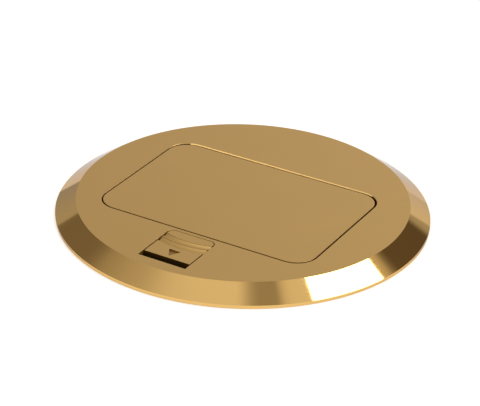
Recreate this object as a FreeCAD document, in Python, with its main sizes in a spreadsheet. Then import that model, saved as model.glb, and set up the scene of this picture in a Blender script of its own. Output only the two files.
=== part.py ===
import FreeCAD, Part
import os
import re
import Sketcher

# Round brass floor socket box with a tilting socket tray.
# Millimetres. Origin: centre of the cover flange at floor level.
# +X runs along the hinge, -Y points to the latch, +Z points up.

os.makedirs("parts", exist_ok=True)
doc = FreeCAD.newDocument("floor_socket_box")
vector = FreeCAD.Vector
sheet = doc.addObject("Spreadsheet::Sheet", "sizes")

# ---------------------------------------------------------------- sizes
plain_sizes = {
    # cover flange
    "flange_radius": 89.0,
    "flange_height": 8.0,
    "rim_height": 1.6,
    "bevel_run": 9.8,
    "plate_thickness": 3.0,
    "land_width": 9.0,
    "gasket_inset": 2.0,
    "gasket_thickness": 1.2,
    "edge_round": 0.35,
    "contact_gap": 0.05,
    "cut_over": 1.0,
    # lid opening
    "window_web": 2.0,
    "open_rear": 35.9,
    "open_corner": 11.0,
    "lid_gap": 0.5,
    "lid_rear_gap": 1.4,
    "throat_wall": 3.0,
    "throat_clearance": 0.2,
    "ledge_width": 8.0,
    "seal_height": 1.6,
    "front_ledge": 1.8,
    "seal_width": 1.4,
    "seal_inset": 0.4,
    "seal_rear": 14.0,
    # hinge
    "hinge_inset": 14.4,
    "hinge_drop": 0.1,
    "pin_radius": 1.5,
    "pin_end_inset": 1.0,
    "lug_radius": 2.3,
    "ear_inset": 5.0,
    "ear_thickness": 1.2,
    "clip_thickness": 0.8,
    "spring_wire": 0.3,
    "coil_radius": 1.95,
    "coil_turns": 5.5,
    "coil_inner_gap": 1.0,
    "coil_outer_gap": 0.5,
    "leg_reach": 13.5,
    "anchor_reach": 5.0,
    "anchor_length": 3.0,
    # latch
    "window_half": 12.4,
    "front_land": 6.6,
    "window_length": 27.7,
    "window_gap": 0.3,
    "window_side_gap": 0.4,
    "latch_travel": 4.2,
    "latch_stop_gap": 0.2,
    "latch_drop": 0.1,
    "latch_corner": 2.8,
    "wing_thickness": 1.25,
    "latch_wing": 3.2,
    "wing_length": 17.0,
    "wing_setback": 1.8,
    "rib_radius": 33.0,
    "rib_setback": 3.5,
    "rib_width_one": 3.0,
    "rib_land": 0.7,
    "rib_width_two": 4.0,
    "rib_depth": 0.9,
    "arrow_setback": 4.6,
    "arrow_length": 5.6,
    "arrow_half": 3.0,
    "arrow_depth": 0.7,
    "bolt_foot_height": 0.5,
    "bolt_thickness": 1.6,
    "bolt_half": 7.0,
    "bolt_end": 3.0,
    "bolt_reach": 1.2,
    "bolt_bevel": 2.8,
    "bolt_tip_edge": 0.4,
    "bolt_foot_margin": 1.0,
    "bolt_screw_radius": 1.2,
    "bolt_screw_head": 2.1,
    "bolt_screw_setback": 3.5,
    "bolt_screw_pitch": 7.0,
    "guide_sheet": 0.8,
    "guide_clearance": 0.4,
    "guide_side_gap": 0.5,
    "guide_throat_gap": 0.2,
    "guide_margin": 1.6,
    "guide_foot": 6.0,
    "rail_setback": 0.5,
    "rail_length": 13.4,
    "guide_screw_radius": 1.0,
    "guide_screw_head": 2.0,
    "guide_screw_front_inset": 5.2,
    "guide_screw_rear_inset": 6.9,
    "screw_head_height": 1.2,
    "tapped_depth": 2.0,
    "latch_coil_wire": 0.18,
    "latch_coil_radius": 0.92,
    "latch_coil_turns": 8.0,
    # tilting frame
    "sheet_steel": 1.2,
    "frame_margin": 2.0,
    "frame_clearance": 1.0,
    "web_inset": 3.6,
    "web_setback": 2.5,
    "cheek_setback": 5.0,
    "cheek_low_back": 6.0,
    "ear_length": 13.5,
    "ear_margin": 2.4,
    "panel_lean": 23.7,
    "panel_setback": 16.9,
    "panel_drop": 26.6,
    "panel_half": 22.0,
    "plate_dish": 4.6,
    "plate_sheet": 1.2,
    "plate_corner": 3.0,
    "lid_screw_x": 30.0,
    "lid_screw_inset": 14.3,
    "lid_screw_rear": 8.0,
    "lid_screw_radius": 1.5,
    "lid_screw_head": 2.6,
    "rivet_margin": 3.6,
    "strike_below": 3.2,
    "strike_slot_side": 0.6,
    "strike_slot_gap": 0.2,
    "strike_foot": 5.6,
    "rivet_spread": 4.8,
    "rivet_back": 2.9,
    "rivet_radius": 1.2,
    "rivet_head": 2.0,
    "rivet_head_height": 0.8,
    # receptacle
    "socket_spacing": 38.1,
    "socket_radius": 16.8,
    "socket_flat": 14.1,
    "socket_gap": 0.35,
    "socket_proud": 0.6,
    "device_margin": 0.65,
    "device_shoulder": 0.5,
    "device_step": 3.1,
    "device_base_top": 2.4,
    "device_base_depth": 6.0,
    "device_step_depth": 12.0,
    "device_depth": 29.2,
    "strap_sheet": 1.4,
    "strap_end": 4.35,
    "strap_ear_half": 9.0,
    "strap_bar_half": 6.0,
    "device_screw_inset": 6.45,
    "device_screw_radius": 1.7,
    "device_screw_head": 3.2,
    "device_screw_length": 9.0,
    "device_cut_end_gap": 0.8,
    "device_cut_side_gap": 1.2,
    "blade_spacing": 12.7,
    "blade_width": 1.8,
    "blade_long": 7.9,
    "blade_short": 6.4,
    "blade_offset": 3.0,
    "earth_offset": 8.6,
    "earth_radius": 2.6,
    "socket_depth": 18.0,
    "contact_sheet": 1.2,
    "contact_margin": 3.8,
    "contact_wall": 1.0,
    "terminal_x": 19.0,
    "terminal_depth": 18.0,
    "terminal_radius": 1.8,
    "terminal_head": 3.6,
    "terminal_head_height": 2.0,
    "earth_screw_x": 28.0,
    "earth_screw_head": 4.0,
    # box below the floor
    "box_sheet": 1.6,
    "box_side_margin": 1.0,
    "box_end_margin": 3.1,
    "box_depth": 62.0,
    "box_corner": 8.0,
    "knockout_radius": 11.1,
    "knockout_depth": 36.0,
    "knockout_gap": 0.05,
    "knockout_x": 28.0,
    "ring_sheet": 1.2,
    "ring_gap": 2.0,
    "ring_margin": 0.5,
    "ring_notch_half": 24.0,
    "floor_screw_inset": 9.0,
    "floor_screw_radius": 2.25,
    "bracket_gap": 0.6,
    "bracket_half_width": 8.0,
    "bracket_drop": 12.0,
    "cover_screw_setback": 18.9,
    "cover_screw_inset": 5.1,
    "cover_screw_radius": 1.7,
    "cover_screw_head": 2.7,
    "cover_screw_gap": 0.1,
    "cover_screw_tail": 1.6,
    "ground_screw_x": 40.0,
    "ground_screw_y": 22.0,
    "ground_screw_radius": 2.1,
    "ground_screw_head": 4.6,
    "ground_screw_height": 3.2,
}

# Sizes worked out from the ones above, so that fitted pieces follow each other.
linked_sizes = {
    "plate_bottom": "flange_height - plate_thickness",
    "bevel_radius": "flange_radius - bevel_run",
    "window_front": "bevel_radius - front_land",
    "window_rear": "window_front - window_length",
    "open_front": "window_rear - window_web",
    "hollow_radius": "flange_radius - land_width",
    "gasket_outer": "flange_radius - gasket_inset",
    "gasket_inner": "hollow_radius + gasket_inset / 2",
    "socket_x": "socket_spacing / 2",
    "device_half": "socket_x + socket_flat + device_margin",
    "device_front_half": "socket_radius - device_shoulder",
    "device_back_half": "device_front_half - device_step",
    "strap_leg": "device_half + strap_sheet",
    "strap_back": "device_depth + strap_sheet",
    "device_screw_x": "strap_leg + device_screw_inset",
    "strap_half": "device_screw_x + strap_end",
    "device_cut_half": "strap_leg + device_cut_end_gap",
    "device_cut_side": "device_front_half + device_cut_side_gap",
    "frame_half": "strap_half + frame_margin",
    "ledge_inner": "frame_half + frame_clearance",
    "open_half": "ledge_inner + ledge_width",
    "ledge_top": "plate_bottom - seal_height",
    "throat_lift": "ring_sheet + throat_clearance",
    "hinge_y": "open_rear - hinge_inset",
    "hinge_z": "plate_bottom - lug_radius - hinge_drop",
    "lid_half": "open_half - lid_gap",
    "lid_front": "open_front - lid_gap",
    "lid_rear": "open_rear - lid_rear_gap",
    "lid_corner": "open_corner - lid_gap",
    "seal_outer": "open_half - seal_inset",
    "pin_end": "open_half - pin_end_inset",
    "latch_half": "window_half - window_side_gap",
    "latch_front": "window_front - latch_travel - latch_stop_gap",
    "latch_rear": "window_rear + window_gap",
    "window_corner": "latch_corner + window_side_gap",
    "latch_top": "flange_height - latch_drop",
    "wing_half": "latch_half + latch_wing",
    "wing_top": "plate_bottom - contact_gap",
    "wing_rear": "latch_rear + wing_setback",
    "wing_front": "wing_rear + wing_length",
    "latch_bottom": "wing_top - wing_thickness",
    "rib_first": "latch_rear + rib_setback",
    "arrow_base": "rib_first + rib_width_one + rib_land + rib_width_two + arrow_setback",
    "rib_sagitta": "rib_radius - sqrt(rib_radius * rib_radius - latch_half * latch_half)",
    "rib_centre": "rib_first + rib_sagitta - rib_radius",
    "bolt_top": "latch_bottom - bolt_foot_height",
    "bolt_bottom": "bolt_top - bolt_thickness",
    "bolt_screw_one": "wing_rear + bolt_screw_setback",
    "bolt_screw_two": "bolt_screw_one + bolt_screw_pitch",
    "bolt_front": "bolt_screw_two + bolt_end",
    "bolt_foot_half": "bolt_half + bolt_foot_margin",
    "guide_bottom": "bolt_bottom - guide_clearance - guide_sheet",
    "guide_rear": "open_front + throat_wall + guide_throat_gap",
    "guide_front": "window_front + guide_margin",
    "guide_rail_rear": "guide_rear + rail_setback",
    "guide_rail_front": "guide_rail_rear + rail_length",
    "guide_screw_front": "guide_front - guide_screw_front_inset",
    "guide_screw_rear": "guide_rear + guide_screw_rear_inset",
    "guide_half": "wing_half + guide_side_gap + guide_sheet",
    "guide_inner": "guide_half - guide_sheet",
    "guide_foot_half": "guide_half + guide_foot",
    "guide_screw_x": "guide_half + guide_foot / 2",
    "latch_coil_x": "latch_half + latch_wing / 2",
    "latch_coil_z": "wing_top - latch_coil_radius - latch_coil_wire",
    "latch_coil_rear": "wing_front + latch_coil_wire",
    "latch_coil_front": "guide_front - guide_sheet - latch_coil_wire",
    "web_bottom": "plate_bottom - sheet_steel",
    "web_middle": "plate_bottom - sheet_steel / 2",
    "web_front": "open_front - web_inset",
    "web_rear": "hinge_y - web_setback",
    "cheek_rear": "hinge_y - cheek_setback",
    "bolt_tip": "web_front - bolt_reach",
    "panel_y": "panel_setback - open_front",
    "panel_z": "plate_bottom - panel_drop",
    "lid_screw_front": "web_front - lid_screw_inset",
    "panel_sin": "sin(panel_lean * 1 deg)",
    "panel_cos": "cos(panel_lean * 1 deg)",
    "ear_outer": "frame_half - ear_inset",
    "ear_inner": "ear_outer - ear_thickness",
    "ear_front": "hinge_y - ear_length",
    "coil_start": "ear_outer + coil_inner_gap",
    "coil_end": "ledge_inner - coil_outer_gap",
    "pin_bore": "pin_radius + contact_gap",
    "strike_rear": "web_front",
    "strike_front": "web_front + sheet_steel",
    "strike_slot_half": "bolt_half + strike_slot_side",
    "slot_bottom": "bolt_bottom - strike_slot_gap",
    "strike_bottom": "slot_bottom - strike_below",
    "slot_top": "bolt_top + strike_slot_gap",
    "rivet_x": "strike_slot_half + rivet_spread",
    "strike_half": "rivet_x + rivet_margin",
    "rivet_y": "web_front - rivet_back",
    "blade_y": "blade_spacing / 2",
    "contact_inner": "blade_y + blade_width / 2",
    "contact_outer": "contact_inner + contact_sheet",
    "contact_half": "device_half - contact_margin",
    "box_half": "open_half + box_side_margin",
    "box_front": "open_front + box_end_margin",
    "box_rear": "open_rear + box_end_margin",
    "box_bottom": "box_depth + box_sheet",
    "box_outer": "box_half + box_sheet",
    "box_outer_front": "box_front + box_sheet",
    "box_outer_rear": "box_rear + box_sheet",
    "knockout_y": "(box_rear - box_front) / 2",
    "ring_outer": "hollow_radius - ring_gap",
    "floor_screw_circle": "ring_outer - floor_screw_inset",
    "ring_half": "open_half + ring_margin",
    "ring_front": "open_front + ring_margin",
    "ring_rear": "open_rear + ring_margin",
    "bracket_inner": "frame_half + bracket_gap",
    "cover_screw_y": "open_front - cover_screw_setback",
    "bracket_front": "cover_screw_y + bracket_half_width",
    "bracket_rear": "cover_screw_y - bracket_half_width",
    "cover_screw_x": "open_half - cover_screw_inset",
    "cover_screw_bore": "cover_screw_radius + cover_screw_gap",
}

size_names = list(plain_sizes) + list(linked_sizes)
name_pattern = re.compile(r"\b(" + "|".join(sorted(size_names, key=len, reverse=True)) + r")\b")


def fill_sheet():
    for row, name in enumerate(size_names, start=1):
        sheet.set(f"A{row}", name)
        if name in plain_sizes:
            sheet.set(f"B{row}", str(plain_sizes[name]))
        else:
            sheet.set(f"B{row}", "=" + linked_sizes[name])
        sheet.setAlias(f"B{row}", name)
    doc.recompute()


fill_sheet()


def linked(text):
    return name_pattern.sub(r"sizes.\1", str(text))


def number(text):
    result = sheet.evalExpression(linked(text))
    return float(getattr(result, "Value", result))


# ---------------------------------------------------------------- sketches
def rectangle(x_low, x_high, y_low, y_high):
    corners = [(x_low, y_low), (x_high, y_low), (x_high, y_high), (x_low, y_high)]
    return ("polygon", corners)


def polygon(*corners):
    return ("polygon", list(corners))


def rounded(x_low, x_high, y_low, y_high, radius):
    return ("rounded", (x_low, x_high, y_low, y_high, radius))


def circle(x, y, radius):
    return ("circle", (x, y, radius))


def flat_sided(x, y, radius, flat):
    return ("flat_sided", (x, y, radius, flat))


def round_ended(x_low, x_high, y_low, y_high, radius):
    return ("round_ended", (x_low, x_high, y_low, y_high, radius))


def scoop(start, width, top, depth):
    return ("scoop", (start, width, top, depth))


class Drawing:
    """A sketch on one of a body's own planes, every point tied to the sheet."""

    def __init__(self, body, label, role, offset, lean=None):
        planes = [item for item in body.Origin.OriginFeatures if item.Role == role]
        self.sketch = body.newObject("Sketcher::SketchObject", label)
        self.sketch.AttachmentSupport = [(planes[0], "")]
        self.sketch.MapMode = "FlatFace"
        if lean:
            self.sketch.AttachmentOffset = FreeCAD.Placement(
                vector(0, 0, 0), FreeCAD.Rotation(vector(1, 0, 0), number(lean)))
            self.sketch.setExpression("AttachmentOffset.Base.y", linked(offset[0]))
            self.sketch.setExpression("AttachmentOffset.Base.z", linked(offset[1]))
            self.sketch.setExpression("AttachmentOffset.Rotation.Angle", linked(lean))
        else:
            self.sketch.setExpression("AttachmentOffset.Base.z", linked(offset))
        self.count = 0

    def tie(self, kind, items, text):
        value = number(text)
        index = self.sketch.addConstraint(Sketcher.Constraint(kind, *items, value))
        self.count += 1
        name = f"size_{self.count}"
        self.sketch.renameConstraint(index, name)
        self.sketch.setExpression(f"Constraints.{name}", linked(text))

    def tie_point(self, geometry, point, x, y):
        self.tie("DistanceX", (-1, 1, geometry, point), x)
        self.tie("DistanceY", (-1, 1, geometry, point), y)

    def line(self, start, end):
        segment = Part.LineSegment(vector(*start, 0), vector(*end, 0))
        return self.sketch.addGeometry(segment, False)

    def arc(self, centre, radius, start, end):
        base = Part.Circle(vector(*centre, 0), vector(0, 0, 1), radius)
        turn = 3.141592653589793 / 180
        return self.sketch.addGeometry(Part.ArcOfCircle(base, start * turn, end * turn), False)

    def fixed(self, kind, *items):
        self.sketch.addConstraint(Sketcher.Constraint(kind, *items))

    def polygon(self, corners):
        points = [(number(x), number(y)) for x, y in corners]
        lines = []
        for index, start in enumerate(points):
            lines.append(self.line(start, points[(index + 1) % len(points)]))
        for index, current in enumerate(lines):
            self.fixed("Coincident", current, 2, lines[(index + 1) % len(lines)], 1)
        for current, (x, y) in zip(lines, corners):
            self.tie_point(current, 1, x, y)

    def path(self, corners):
        points = [(number(x), number(y)) for x, y in corners]
        lines = [self.line(start, end) for start, end in zip(points, points[1:])]
        for first, second in zip(lines, lines[1:]):
            self.fixed("Coincident", first, 2, second, 1)
        for current, (x, y) in zip(lines, corners):
            self.tie_point(current, 1, x, y)
        self.tie_point(lines[-1], 2, *corners[-1])

    def circle(self, x, y, radius):
        base = Part.Circle(vector(number(x), number(y), 0), vector(0, 0, 1), number(radius))
        index = self.sketch.addGeometry(base, False)
        self.tie_point(index, 3, x, y)
        self.tie("Radius", (index,), radius)

    def rounded(self, x_low, x_high, y_low, y_high, radius):
        left, right, low, high = number(x_low), number(x_high), number(y_low), number(y_high)
        corner = number(radius)
        bottom = self.line((left + corner, low), (right - corner, low))
        first = self.arc((right - corner, low + corner), corner, -90, 0)
        side = self.line((right, low + corner), (right, high - corner))
        second = self.arc((right - corner, high - corner), corner, 0, 90)
        top = self.line((right - corner, high), (left + corner, high))
        third = self.arc((left + corner, high - corner), corner, 90, 180)
        other = self.line((left, high - corner), (left, low + corner))
        fourth = self.arc((left + corner, low + corner), corner, 180, 270)
        for before, arc, after in ((bottom, first, side), (side, second, top),
                                   (top, third, other), (other, fourth, bottom)):
            self.fixed("Tangent", before, 2, arc, 1)
            self.fixed("Tangent", arc, 2, after, 1)
        for flat in (bottom, top):
            self.fixed("Horizontal", flat)
        for upright in (side, other):
            self.fixed("Vertical", upright)
        for arc in (second, third, fourth):
            self.fixed("Equal", first, arc)
        self.tie("Radius", (first,), radius)
        self.tie("DistanceX", (-1, 1, other, 1), x_low)
        self.tie("DistanceX", (-1, 1, side, 1), x_high)
        self.tie("DistanceY", (-1, 1, bottom, 1), y_low)
        self.tie("DistanceY", (-1, 1, top, 1), y_high)

    def flat_sided(self, x, y, radius, flat):
        middle_x, middle_y = number(x), number(y)
        reach, half = number(radius), number(flat)
        rise = (reach * reach - half * half) ** 0.5
        angle = float(FreeCAD.Units.Quantity(f"atan({rise / half})").Value) if half else 90.0
        right = self.line((middle_x + half, middle_y - rise), (middle_x + half, middle_y + rise))
        upper = self.arc((middle_x, middle_y), reach, angle, 180 - angle)
        left = self.line((middle_x - half, middle_y + rise), (middle_x - half, middle_y - rise))
        lower = self.arc((middle_x, middle_y), reach, 180 + angle, 360 - angle)
        for before, after in ((right, upper), (upper, left), (left, lower), (lower, right)):
            self.fixed("Coincident", before, 2, after, 1)
        for upright in (right, left):
            self.fixed("Vertical", upright)
        for arc in (upper, lower):
            self.tie_point(arc, 3, x, y)
            self.tie("Radius", (arc,), radius)
        self.tie("DistanceX", (-1, 1, right, 1), f"({x}) + {flat}")
        self.tie("DistanceX", (-1, 1, left, 1), f"({x}) - ({flat})")

    def round_ended(self, x_low, x_high, y_low, y_high, radius):
        """A rectangle whose two corners at the high Y end are rounded."""
        left, right, low, high = number(x_low), number(x_high), number(y_low), number(y_high)
        corner = number(radius)
        bottom = self.line((left, low), (right, low))
        side = self.line((right, low), (right, high - corner))
        first = self.arc((right - corner, high - corner), corner, 0, 90)
        top = self.line((right - corner, high), (left + corner, high))
        second = self.arc((left + corner, high - corner), corner, 90, 180)
        other = self.line((left, high - corner), (left, low))
        for before, after in ((bottom, side), (other, bottom)):
            self.fixed("Coincident", before, 2, after, 1)
        for before, arc, after in ((side, first, top), (top, second, other)):
            self.fixed("Tangent", before, 2, arc, 1)
            self.fixed("Tangent", arc, 2, after, 1)
        for upright in (side, other):
            self.fixed("Vertical", upright)
        self.fixed("Horizontal", top)
        self.fixed("Equal", first, second)
        self.tie("Radius", (first,), radius)
        self.tie_point(bottom, 1, x_low, y_low)
        self.tie_point(side, 1, x_high, y_low)
        self.tie("DistanceY", (-1, 1, top, 1), y_high)

    def scoop(self, start, width, top, depth):
        """A dip that falls on an arc from its start, level at its foot, up to a steep far wall."""
        run, drop = number(width), number(depth)
        reach = f"(({width}) * ({width}) + ({depth}) * ({depth})) / (2 * ({depth}))"
        near_edge, far_edge = -number(start), -number(start) - run
        surface, brim = number(top), number(top) + number("cut_over")
        radius = number(reach)
        centre = (far_edge, surface - drop + radius)
        entry = -float(FreeCAD.Units.Quantity(f"acos({run / radius})").Value)
        arc = self.arc(centre, radius, -90, entry)
        entry_side = self.line((near_edge, surface), (near_edge, brim))
        brim_side = self.line((near_edge, brim), (far_edge, brim))
        wall = self.line((far_edge, brim), (far_edge, surface - drop))
        for before, after in ((entry_side, brim_side), (brim_side, wall)):
            self.fixed("Coincident", before, 2, after, 1)
        self.fixed("Coincident", wall, 2, arc, 1)
        self.fixed("Coincident", arc, 2, entry_side, 1)
        self.tie_point(arc, 3, f"-({start}) - ({width})", f"({top}) - ({depth}) + {reach}")
        self.tie_point(arc, 2, f"-({start})", top)
        self.tie_point(brim_side, 1, f"-({start})", f"({top}) + cut_over")
        self.tie_point(brim_side, 2, f"-({start}) - ({width})", f"({top}) + cut_over")
        self.fixed("Vertical", wall)

    def draw(self, loops):
        for kind, values in loops:
            if kind in ("polygon", "path"):
                getattr(self, kind)(values)
            else:
                getattr(self, kind)(*values)
        return self.sketch


# ---------------------------------------------------------------- bodies
class Piece:
    """One sub-part as a PartDesign body with its features in order."""

    made = []

    def __init__(self, name):
        self.name = name
        self.body = doc.addObject("PartDesign::Body", name)
        self.body.Label = name
        self.body.AllowCompound = True
        self.steps = 0
        Piece.made.append(self)

    def label(self, kind):
        self.steps += 1
        return f"{self.name}_{kind}_{self.steps}"

    def place(self, y, z, angle="0"):
        """Tie the body's own frame to the sheet: shifted in Y and Z, turned about X."""
        self.body.Placement = FreeCAD.Placement(
            vector(0, number(y), number(z)), FreeCAD.Rotation(vector(1, 0, 0), number(angle)))
        self.body.setExpression("Placement.Base.y", linked(y))
        self.body.setExpression("Placement.Base.z", linked(z))
        if angle != "0":
            self.body.setExpression("Placement.Rotation.Angle", linked(angle))

    def sketch(self, role, offset, loops, lean=None):
        return Drawing(self.body, self.label("sketch"), role, offset, lean).draw(loops)

    def feature(self, kind, sketch, length):
        item = self.body.newObject(f"PartDesign::{kind}", self.label(kind.lower()))
        item.Profile = sketch
        item.setExpression("Length", linked(length))
        sketch.Visibility = False
        return item

    def add(self, axis, low, high, *loops):
        role, offset = {"z": ("XY_Plane", low), "x": ("YZ_Plane", low), "y": ("XZ_Plane", f"-({high})")}[axis]
        sketch = self.sketch(role, offset, loops)
        return self.feature("Pad", sketch, f"({high}) - ({low})")

    def cut(self, axis, low, high, *loops):
        role, offset = {"z": ("XY_Plane", high), "x": ("YZ_Plane", high), "y": ("XZ_Plane", f"-({low})")}[axis]
        sketch = self.sketch(role, offset, loops)
        return self.feature("Pocket", sketch, f"({high}) - ({low})")

    def drill_leaning(self, spot, lean, depth, *loops):
        """Cut square to a leaning face that passes through the given Y, Z spot."""
        return self.feature("Pocket", self.sketch("XY_Plane", spot, loops, lean), depth)

    def turn(self, kind, *loops, role="XZ_Plane"):
        sketch = self.sketch(role, "0", loops)
        item = self.body.newObject(f"PartDesign::{kind}", self.label(kind.lower()))
        item.Profile = sketch
        item.ReferenceAxis = (sketch, ["V_Axis"])
        item.Angle = 360
        return item

    def soften(self, feature, radius, choose):
        doc.recompute()
        names = []
        for index, edge in enumerate(feature.Shape.Edges, start=1):
            if choose(edge.BoundBox):
                names.append(f"Edge{index}")
        item = self.body.newObject("PartDesign::Fillet", self.label("fillet"))
        item.Base = (feature, names)
        item.Radius = number(radius)
        item.setExpression("Radius", linked(radius))
        return item


class WireForm:
    """A bent wire as a six-sided solid with mitred joints along its centre line."""

    sides = 6

    def __init__(self, name, points, radius):
        self.name = name
        self.body = doc.addObject("Part::Feature", name)
        self.body.Label = name
        self.body.Shape = self.solid(points, radius)
        Piece.made.append(self)

    def start_ring(self, centre, along, radius):
        across = along.cross(vector(0.3, 0.2, 1.0)).normalize()
        turn = 360 / self.sides
        return [centre + FreeCAD.Rotation(along, turn * side).multVec(across) * radius for side in range(self.sides)]

    def solid(self, points, radius):
        runs = [(after - before).normalize() for before, after in zip(points, points[1:])]
        mitres = [runs[0]] + [first + second for first, second in zip(runs, runs[1:])] + [runs[-1]]
        rings = [self.start_ring(points[0], runs[0], radius)]
        for run, point, mitre in zip(runs, points[1:], mitres[1:]):
            rings.append([spot + run * ((point - spot).dot(mitre) / run.dot(mitre)) for spot in rings[-1]])
        faces = [self.face(rings[0]), self.face(rings[-1])]
        for before, after in zip(rings, rings[1:]):
            for side in range(self.sides):
                other = (side + 1) % self.sides
                faces.append(self.face([before[side], before[other], after[other], after[side]]))
        solid = Part.Solid(Part.Shell(faces))
        solid.fix(0.001, 0.001, 0.001)
        if solid.Volume < 0:
            solid.reverse()
        return solid

    def face(self, corners):
        return Part.Face(Part.makePolygon(corners + corners[:1]))


def coil_points(start_angle, turns, steps_per_turn):
    """(share of the length, cosine, sine) for each station of a helix, angles in degrees."""
    steps = int(round(turns * steps_per_turn))
    stations = []
    for step in range(steps + 1):
        turn = FreeCAD.Rotation(vector(0, 0, 1), start_angle + 360 * turns * step / steps)
        spot = turn.multVec(vector(1, 0, 0))
        stations.append((step / steps, spot.x, spot.y))
    return stations


def both_sides(low, high, y_low, y_high):
    """Two rectangles, mirrored about X = 0."""
    return (rectangle(low, high, y_low, y_high), rectangle(f"-({high})", f"-({low})", y_low, y_high))


def near(value, text):
    return abs(value - number(text)) < 0.001


# ---------------------------------------------------------------- cover and seals
cover = Piece("cover_flange")
cover.turn("Revolution", polygon(
    ("0", "plate_bottom"), ("hollow_radius", "plate_bottom"), ("hollow_radius", "0"),
    ("flange_radius", "0"), ("flange_radius", "rim_height"), ("bevel_radius", "flange_height"),
    ("0", "flange_height")))
cover.turn("Groove", rectangle("gasket_inner", "gasket_outer", "-cut_over", "gasket_thickness"))
cover.add("z", "throat_lift", "plate_bottom", rounded(
    "-open_half - throat_wall", "open_half + throat_wall", "-open_front - throat_wall",
    "open_rear + throat_wall", "open_corner + throat_wall"))
cover.cut("z", "-cut_over", "flange_height + cut_over", rounded(
    "-open_half", "open_half", "-open_front", "open_rear", "open_corner"))
cover.add("z", "throat_lift", "ledge_top", polygon(
    ("-open_half - throat_wall / 2", "hinge_y"),
    ("-open_half - throat_wall / 2", "-open_front + open_corner / 2"),
    ("-open_half + open_corner / 2", "-open_front - throat_wall / 2"),
    ("open_half - open_corner / 2", "-open_front - throat_wall / 2"),
    ("open_half + throat_wall / 2", "-open_front + open_corner / 2"),
    ("open_half + throat_wall / 2", "hinge_y"), ("ledge_inner", "hinge_y"),
    ("ledge_inner", "-open_front + front_ledge"), ("-ledge_inner", "-open_front + front_ledge"),
    ("-ledge_inner", "hinge_y")))
for low, high in (("-open_half - throat_wall / 10", "-ledge_inner"), ("ledge_inner", "open_half + throat_wall / 10")):
    cover.add("x", low, high, circle("hinge_y", "hinge_z", "lug_radius"))
cover.cut("z", "-cut_over", "latch_bottom", rectangle(
    "-strike_slot_half", "strike_slot_half", "-open_front - throat_wall - cut_over",
    "-open_front + front_ledge + cut_over"))
cover.cut("z", "throat_lift", "plate_bottom + contact_gap", rectangle(
    "-window_half", "window_half", "-window_front", "-window_rear"))
cover.cut("z", "plate_bottom", "flange_height + cut_over", round_ended(
    "-window_half", "window_half", "-window_front", "-window_rear", "window_corner"))
cover.cut("x", "-pin_end", "pin_end", circle("hinge_y", "hinge_z", "pin_radius"))
cover.cut("z", "-cut_over", "ledge_top + cut_over", *[
    circle(f"{sign}cover_screw_x", "-cover_screw_y", "cover_screw_bore") for sign in ("-", "")])
cover.cut("z", "ledge_top - screw_head_height", "ledge_top + cut_over", *[
    circle(f"{sign}cover_screw_x", "-cover_screw_y", "cover_screw_head + cover_screw_gap")
    for sign in ("-", "")])
last = cover.cut("z", "plate_bottom - cut_over", "plate_bottom + tapped_depth", *[
    circle(f"{sign}guide_screw_x", f"-{row}", "guide_screw_radius")
    for sign in ("-", "") for row in ("guide_screw_front", "guide_screw_rear")])
cover.soften(last, "edge_round", lambda box: near(box.ZMin, "flange_height") and near(box.ZMax, "flange_height")
             and box.YMax < number("open_rear") + 1 and box.XMax < number("open_half") + 1
             and box.YMin > -number("window_front") - 1)

gasket = Piece("cover_gasket")
gasket.turn("Revolution", rectangle("gasket_inner", "gasket_outer", "0", "gasket_thickness"))

seal = Piece("lid_seal")
seal.add("z", "ledge_top", "plate_bottom", rounded(
    "-seal_outer", "seal_outer", "-open_front + seal_inset", "open_rear", "open_corner - seal_inset"))
seal.cut("z", "ledge_top - cut_over", "plate_bottom + cut_over", rounded(
    "-seal_outer + seal_width", "seal_outer - seal_width", "-open_front + seal_inset + seal_width",
    "open_rear + cut_over", "open_corner - seal_inset - seal_width"))
seal.cut("z", "ledge_top - cut_over", "plate_bottom + cut_over", rectangle(
    "-open_half", "open_half", "seal_rear", "open_rear + cut_over"))

# ---------------------------------------------------------------- hinge
pin = Piece("hinge_pin")
pin.add("x", "-pin_end", "pin_end", circle("hinge_y", "hinge_z", "pin_radius"))

clips = Piece("hinge_clips")
for sign in ("-", ""):
    edges = sorted([f"{sign}(ear_inner - contact_gap)", f"{sign}(ear_inner - contact_gap - clip_thickness)"],
                   key=number)
    clips.add("x", *edges, circle("hinge_y", "hinge_z", "lug_radius"),
              circle("hinge_y", "hinge_z", "pin_radius"))



def torsion_spring(side, sign):
    """Coil on the pin: one leg under the tray's web, the other forward and out onto the ledge."""
    y, z, radius, wire = (number(name) for name in ("hinge_y", "hinge_z", "coil_radius", "spring_wire"))
    inner, outer = number("coil_start"), number("coil_end")
    points = [vector(sign * inner, y - number("leg_reach"), number("web_bottom") - wire)]
    for share, across, up in coil_points(-90, number("coil_turns"), 14):
        points.append(vector(sign * (inner + share * (outer - inner)), y + radius * across, z + radius * up))
    rest_z = number("ledge_top") + wire
    points.append(vector(sign * outer, y - number("anchor_reach"), rest_z))
    points.append(vector(sign * number("ledge_inner + anchor_length"), y - number("anchor_reach"), rest_z))
    WireForm(f"torsion_spring_{side}", points, wire)


torsion_spring("left", -1)
torsion_spring("right", 1)

# ---------------------------------------------------------------- lid and strike
lid = Piece("lid_plate")
lid.add("z", "plate_bottom", "flange_height", rounded(
    "-lid_half", "lid_half", "-lid_front", "lid_rear", "lid_corner"))
lid_screw_spots = [(f"{sign}lid_screw_x", row) for sign in ("-", "")
                   for row in ("-lid_screw_front", "lid_screw_rear")]
last = lid.cut("z", "plate_bottom - cut_over", "plate_bottom + tapped_depth", *[
    circle(x, y, "lid_screw_radius") for x, y in lid_screw_spots])
lid.soften(last, "edge_round", lambda box: near(box.ZMin, "flange_height") and near(box.ZMax, "flange_height"))


def panel(along, out):
    """Point on the leaning socket panel: along it, and out from its front face."""
    return (f"panel_y - ({along}) * panel_sin - ({out}) * panel_cos",
            f"panel_z + ({along}) * panel_cos - ({out}) * panel_sin")


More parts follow.
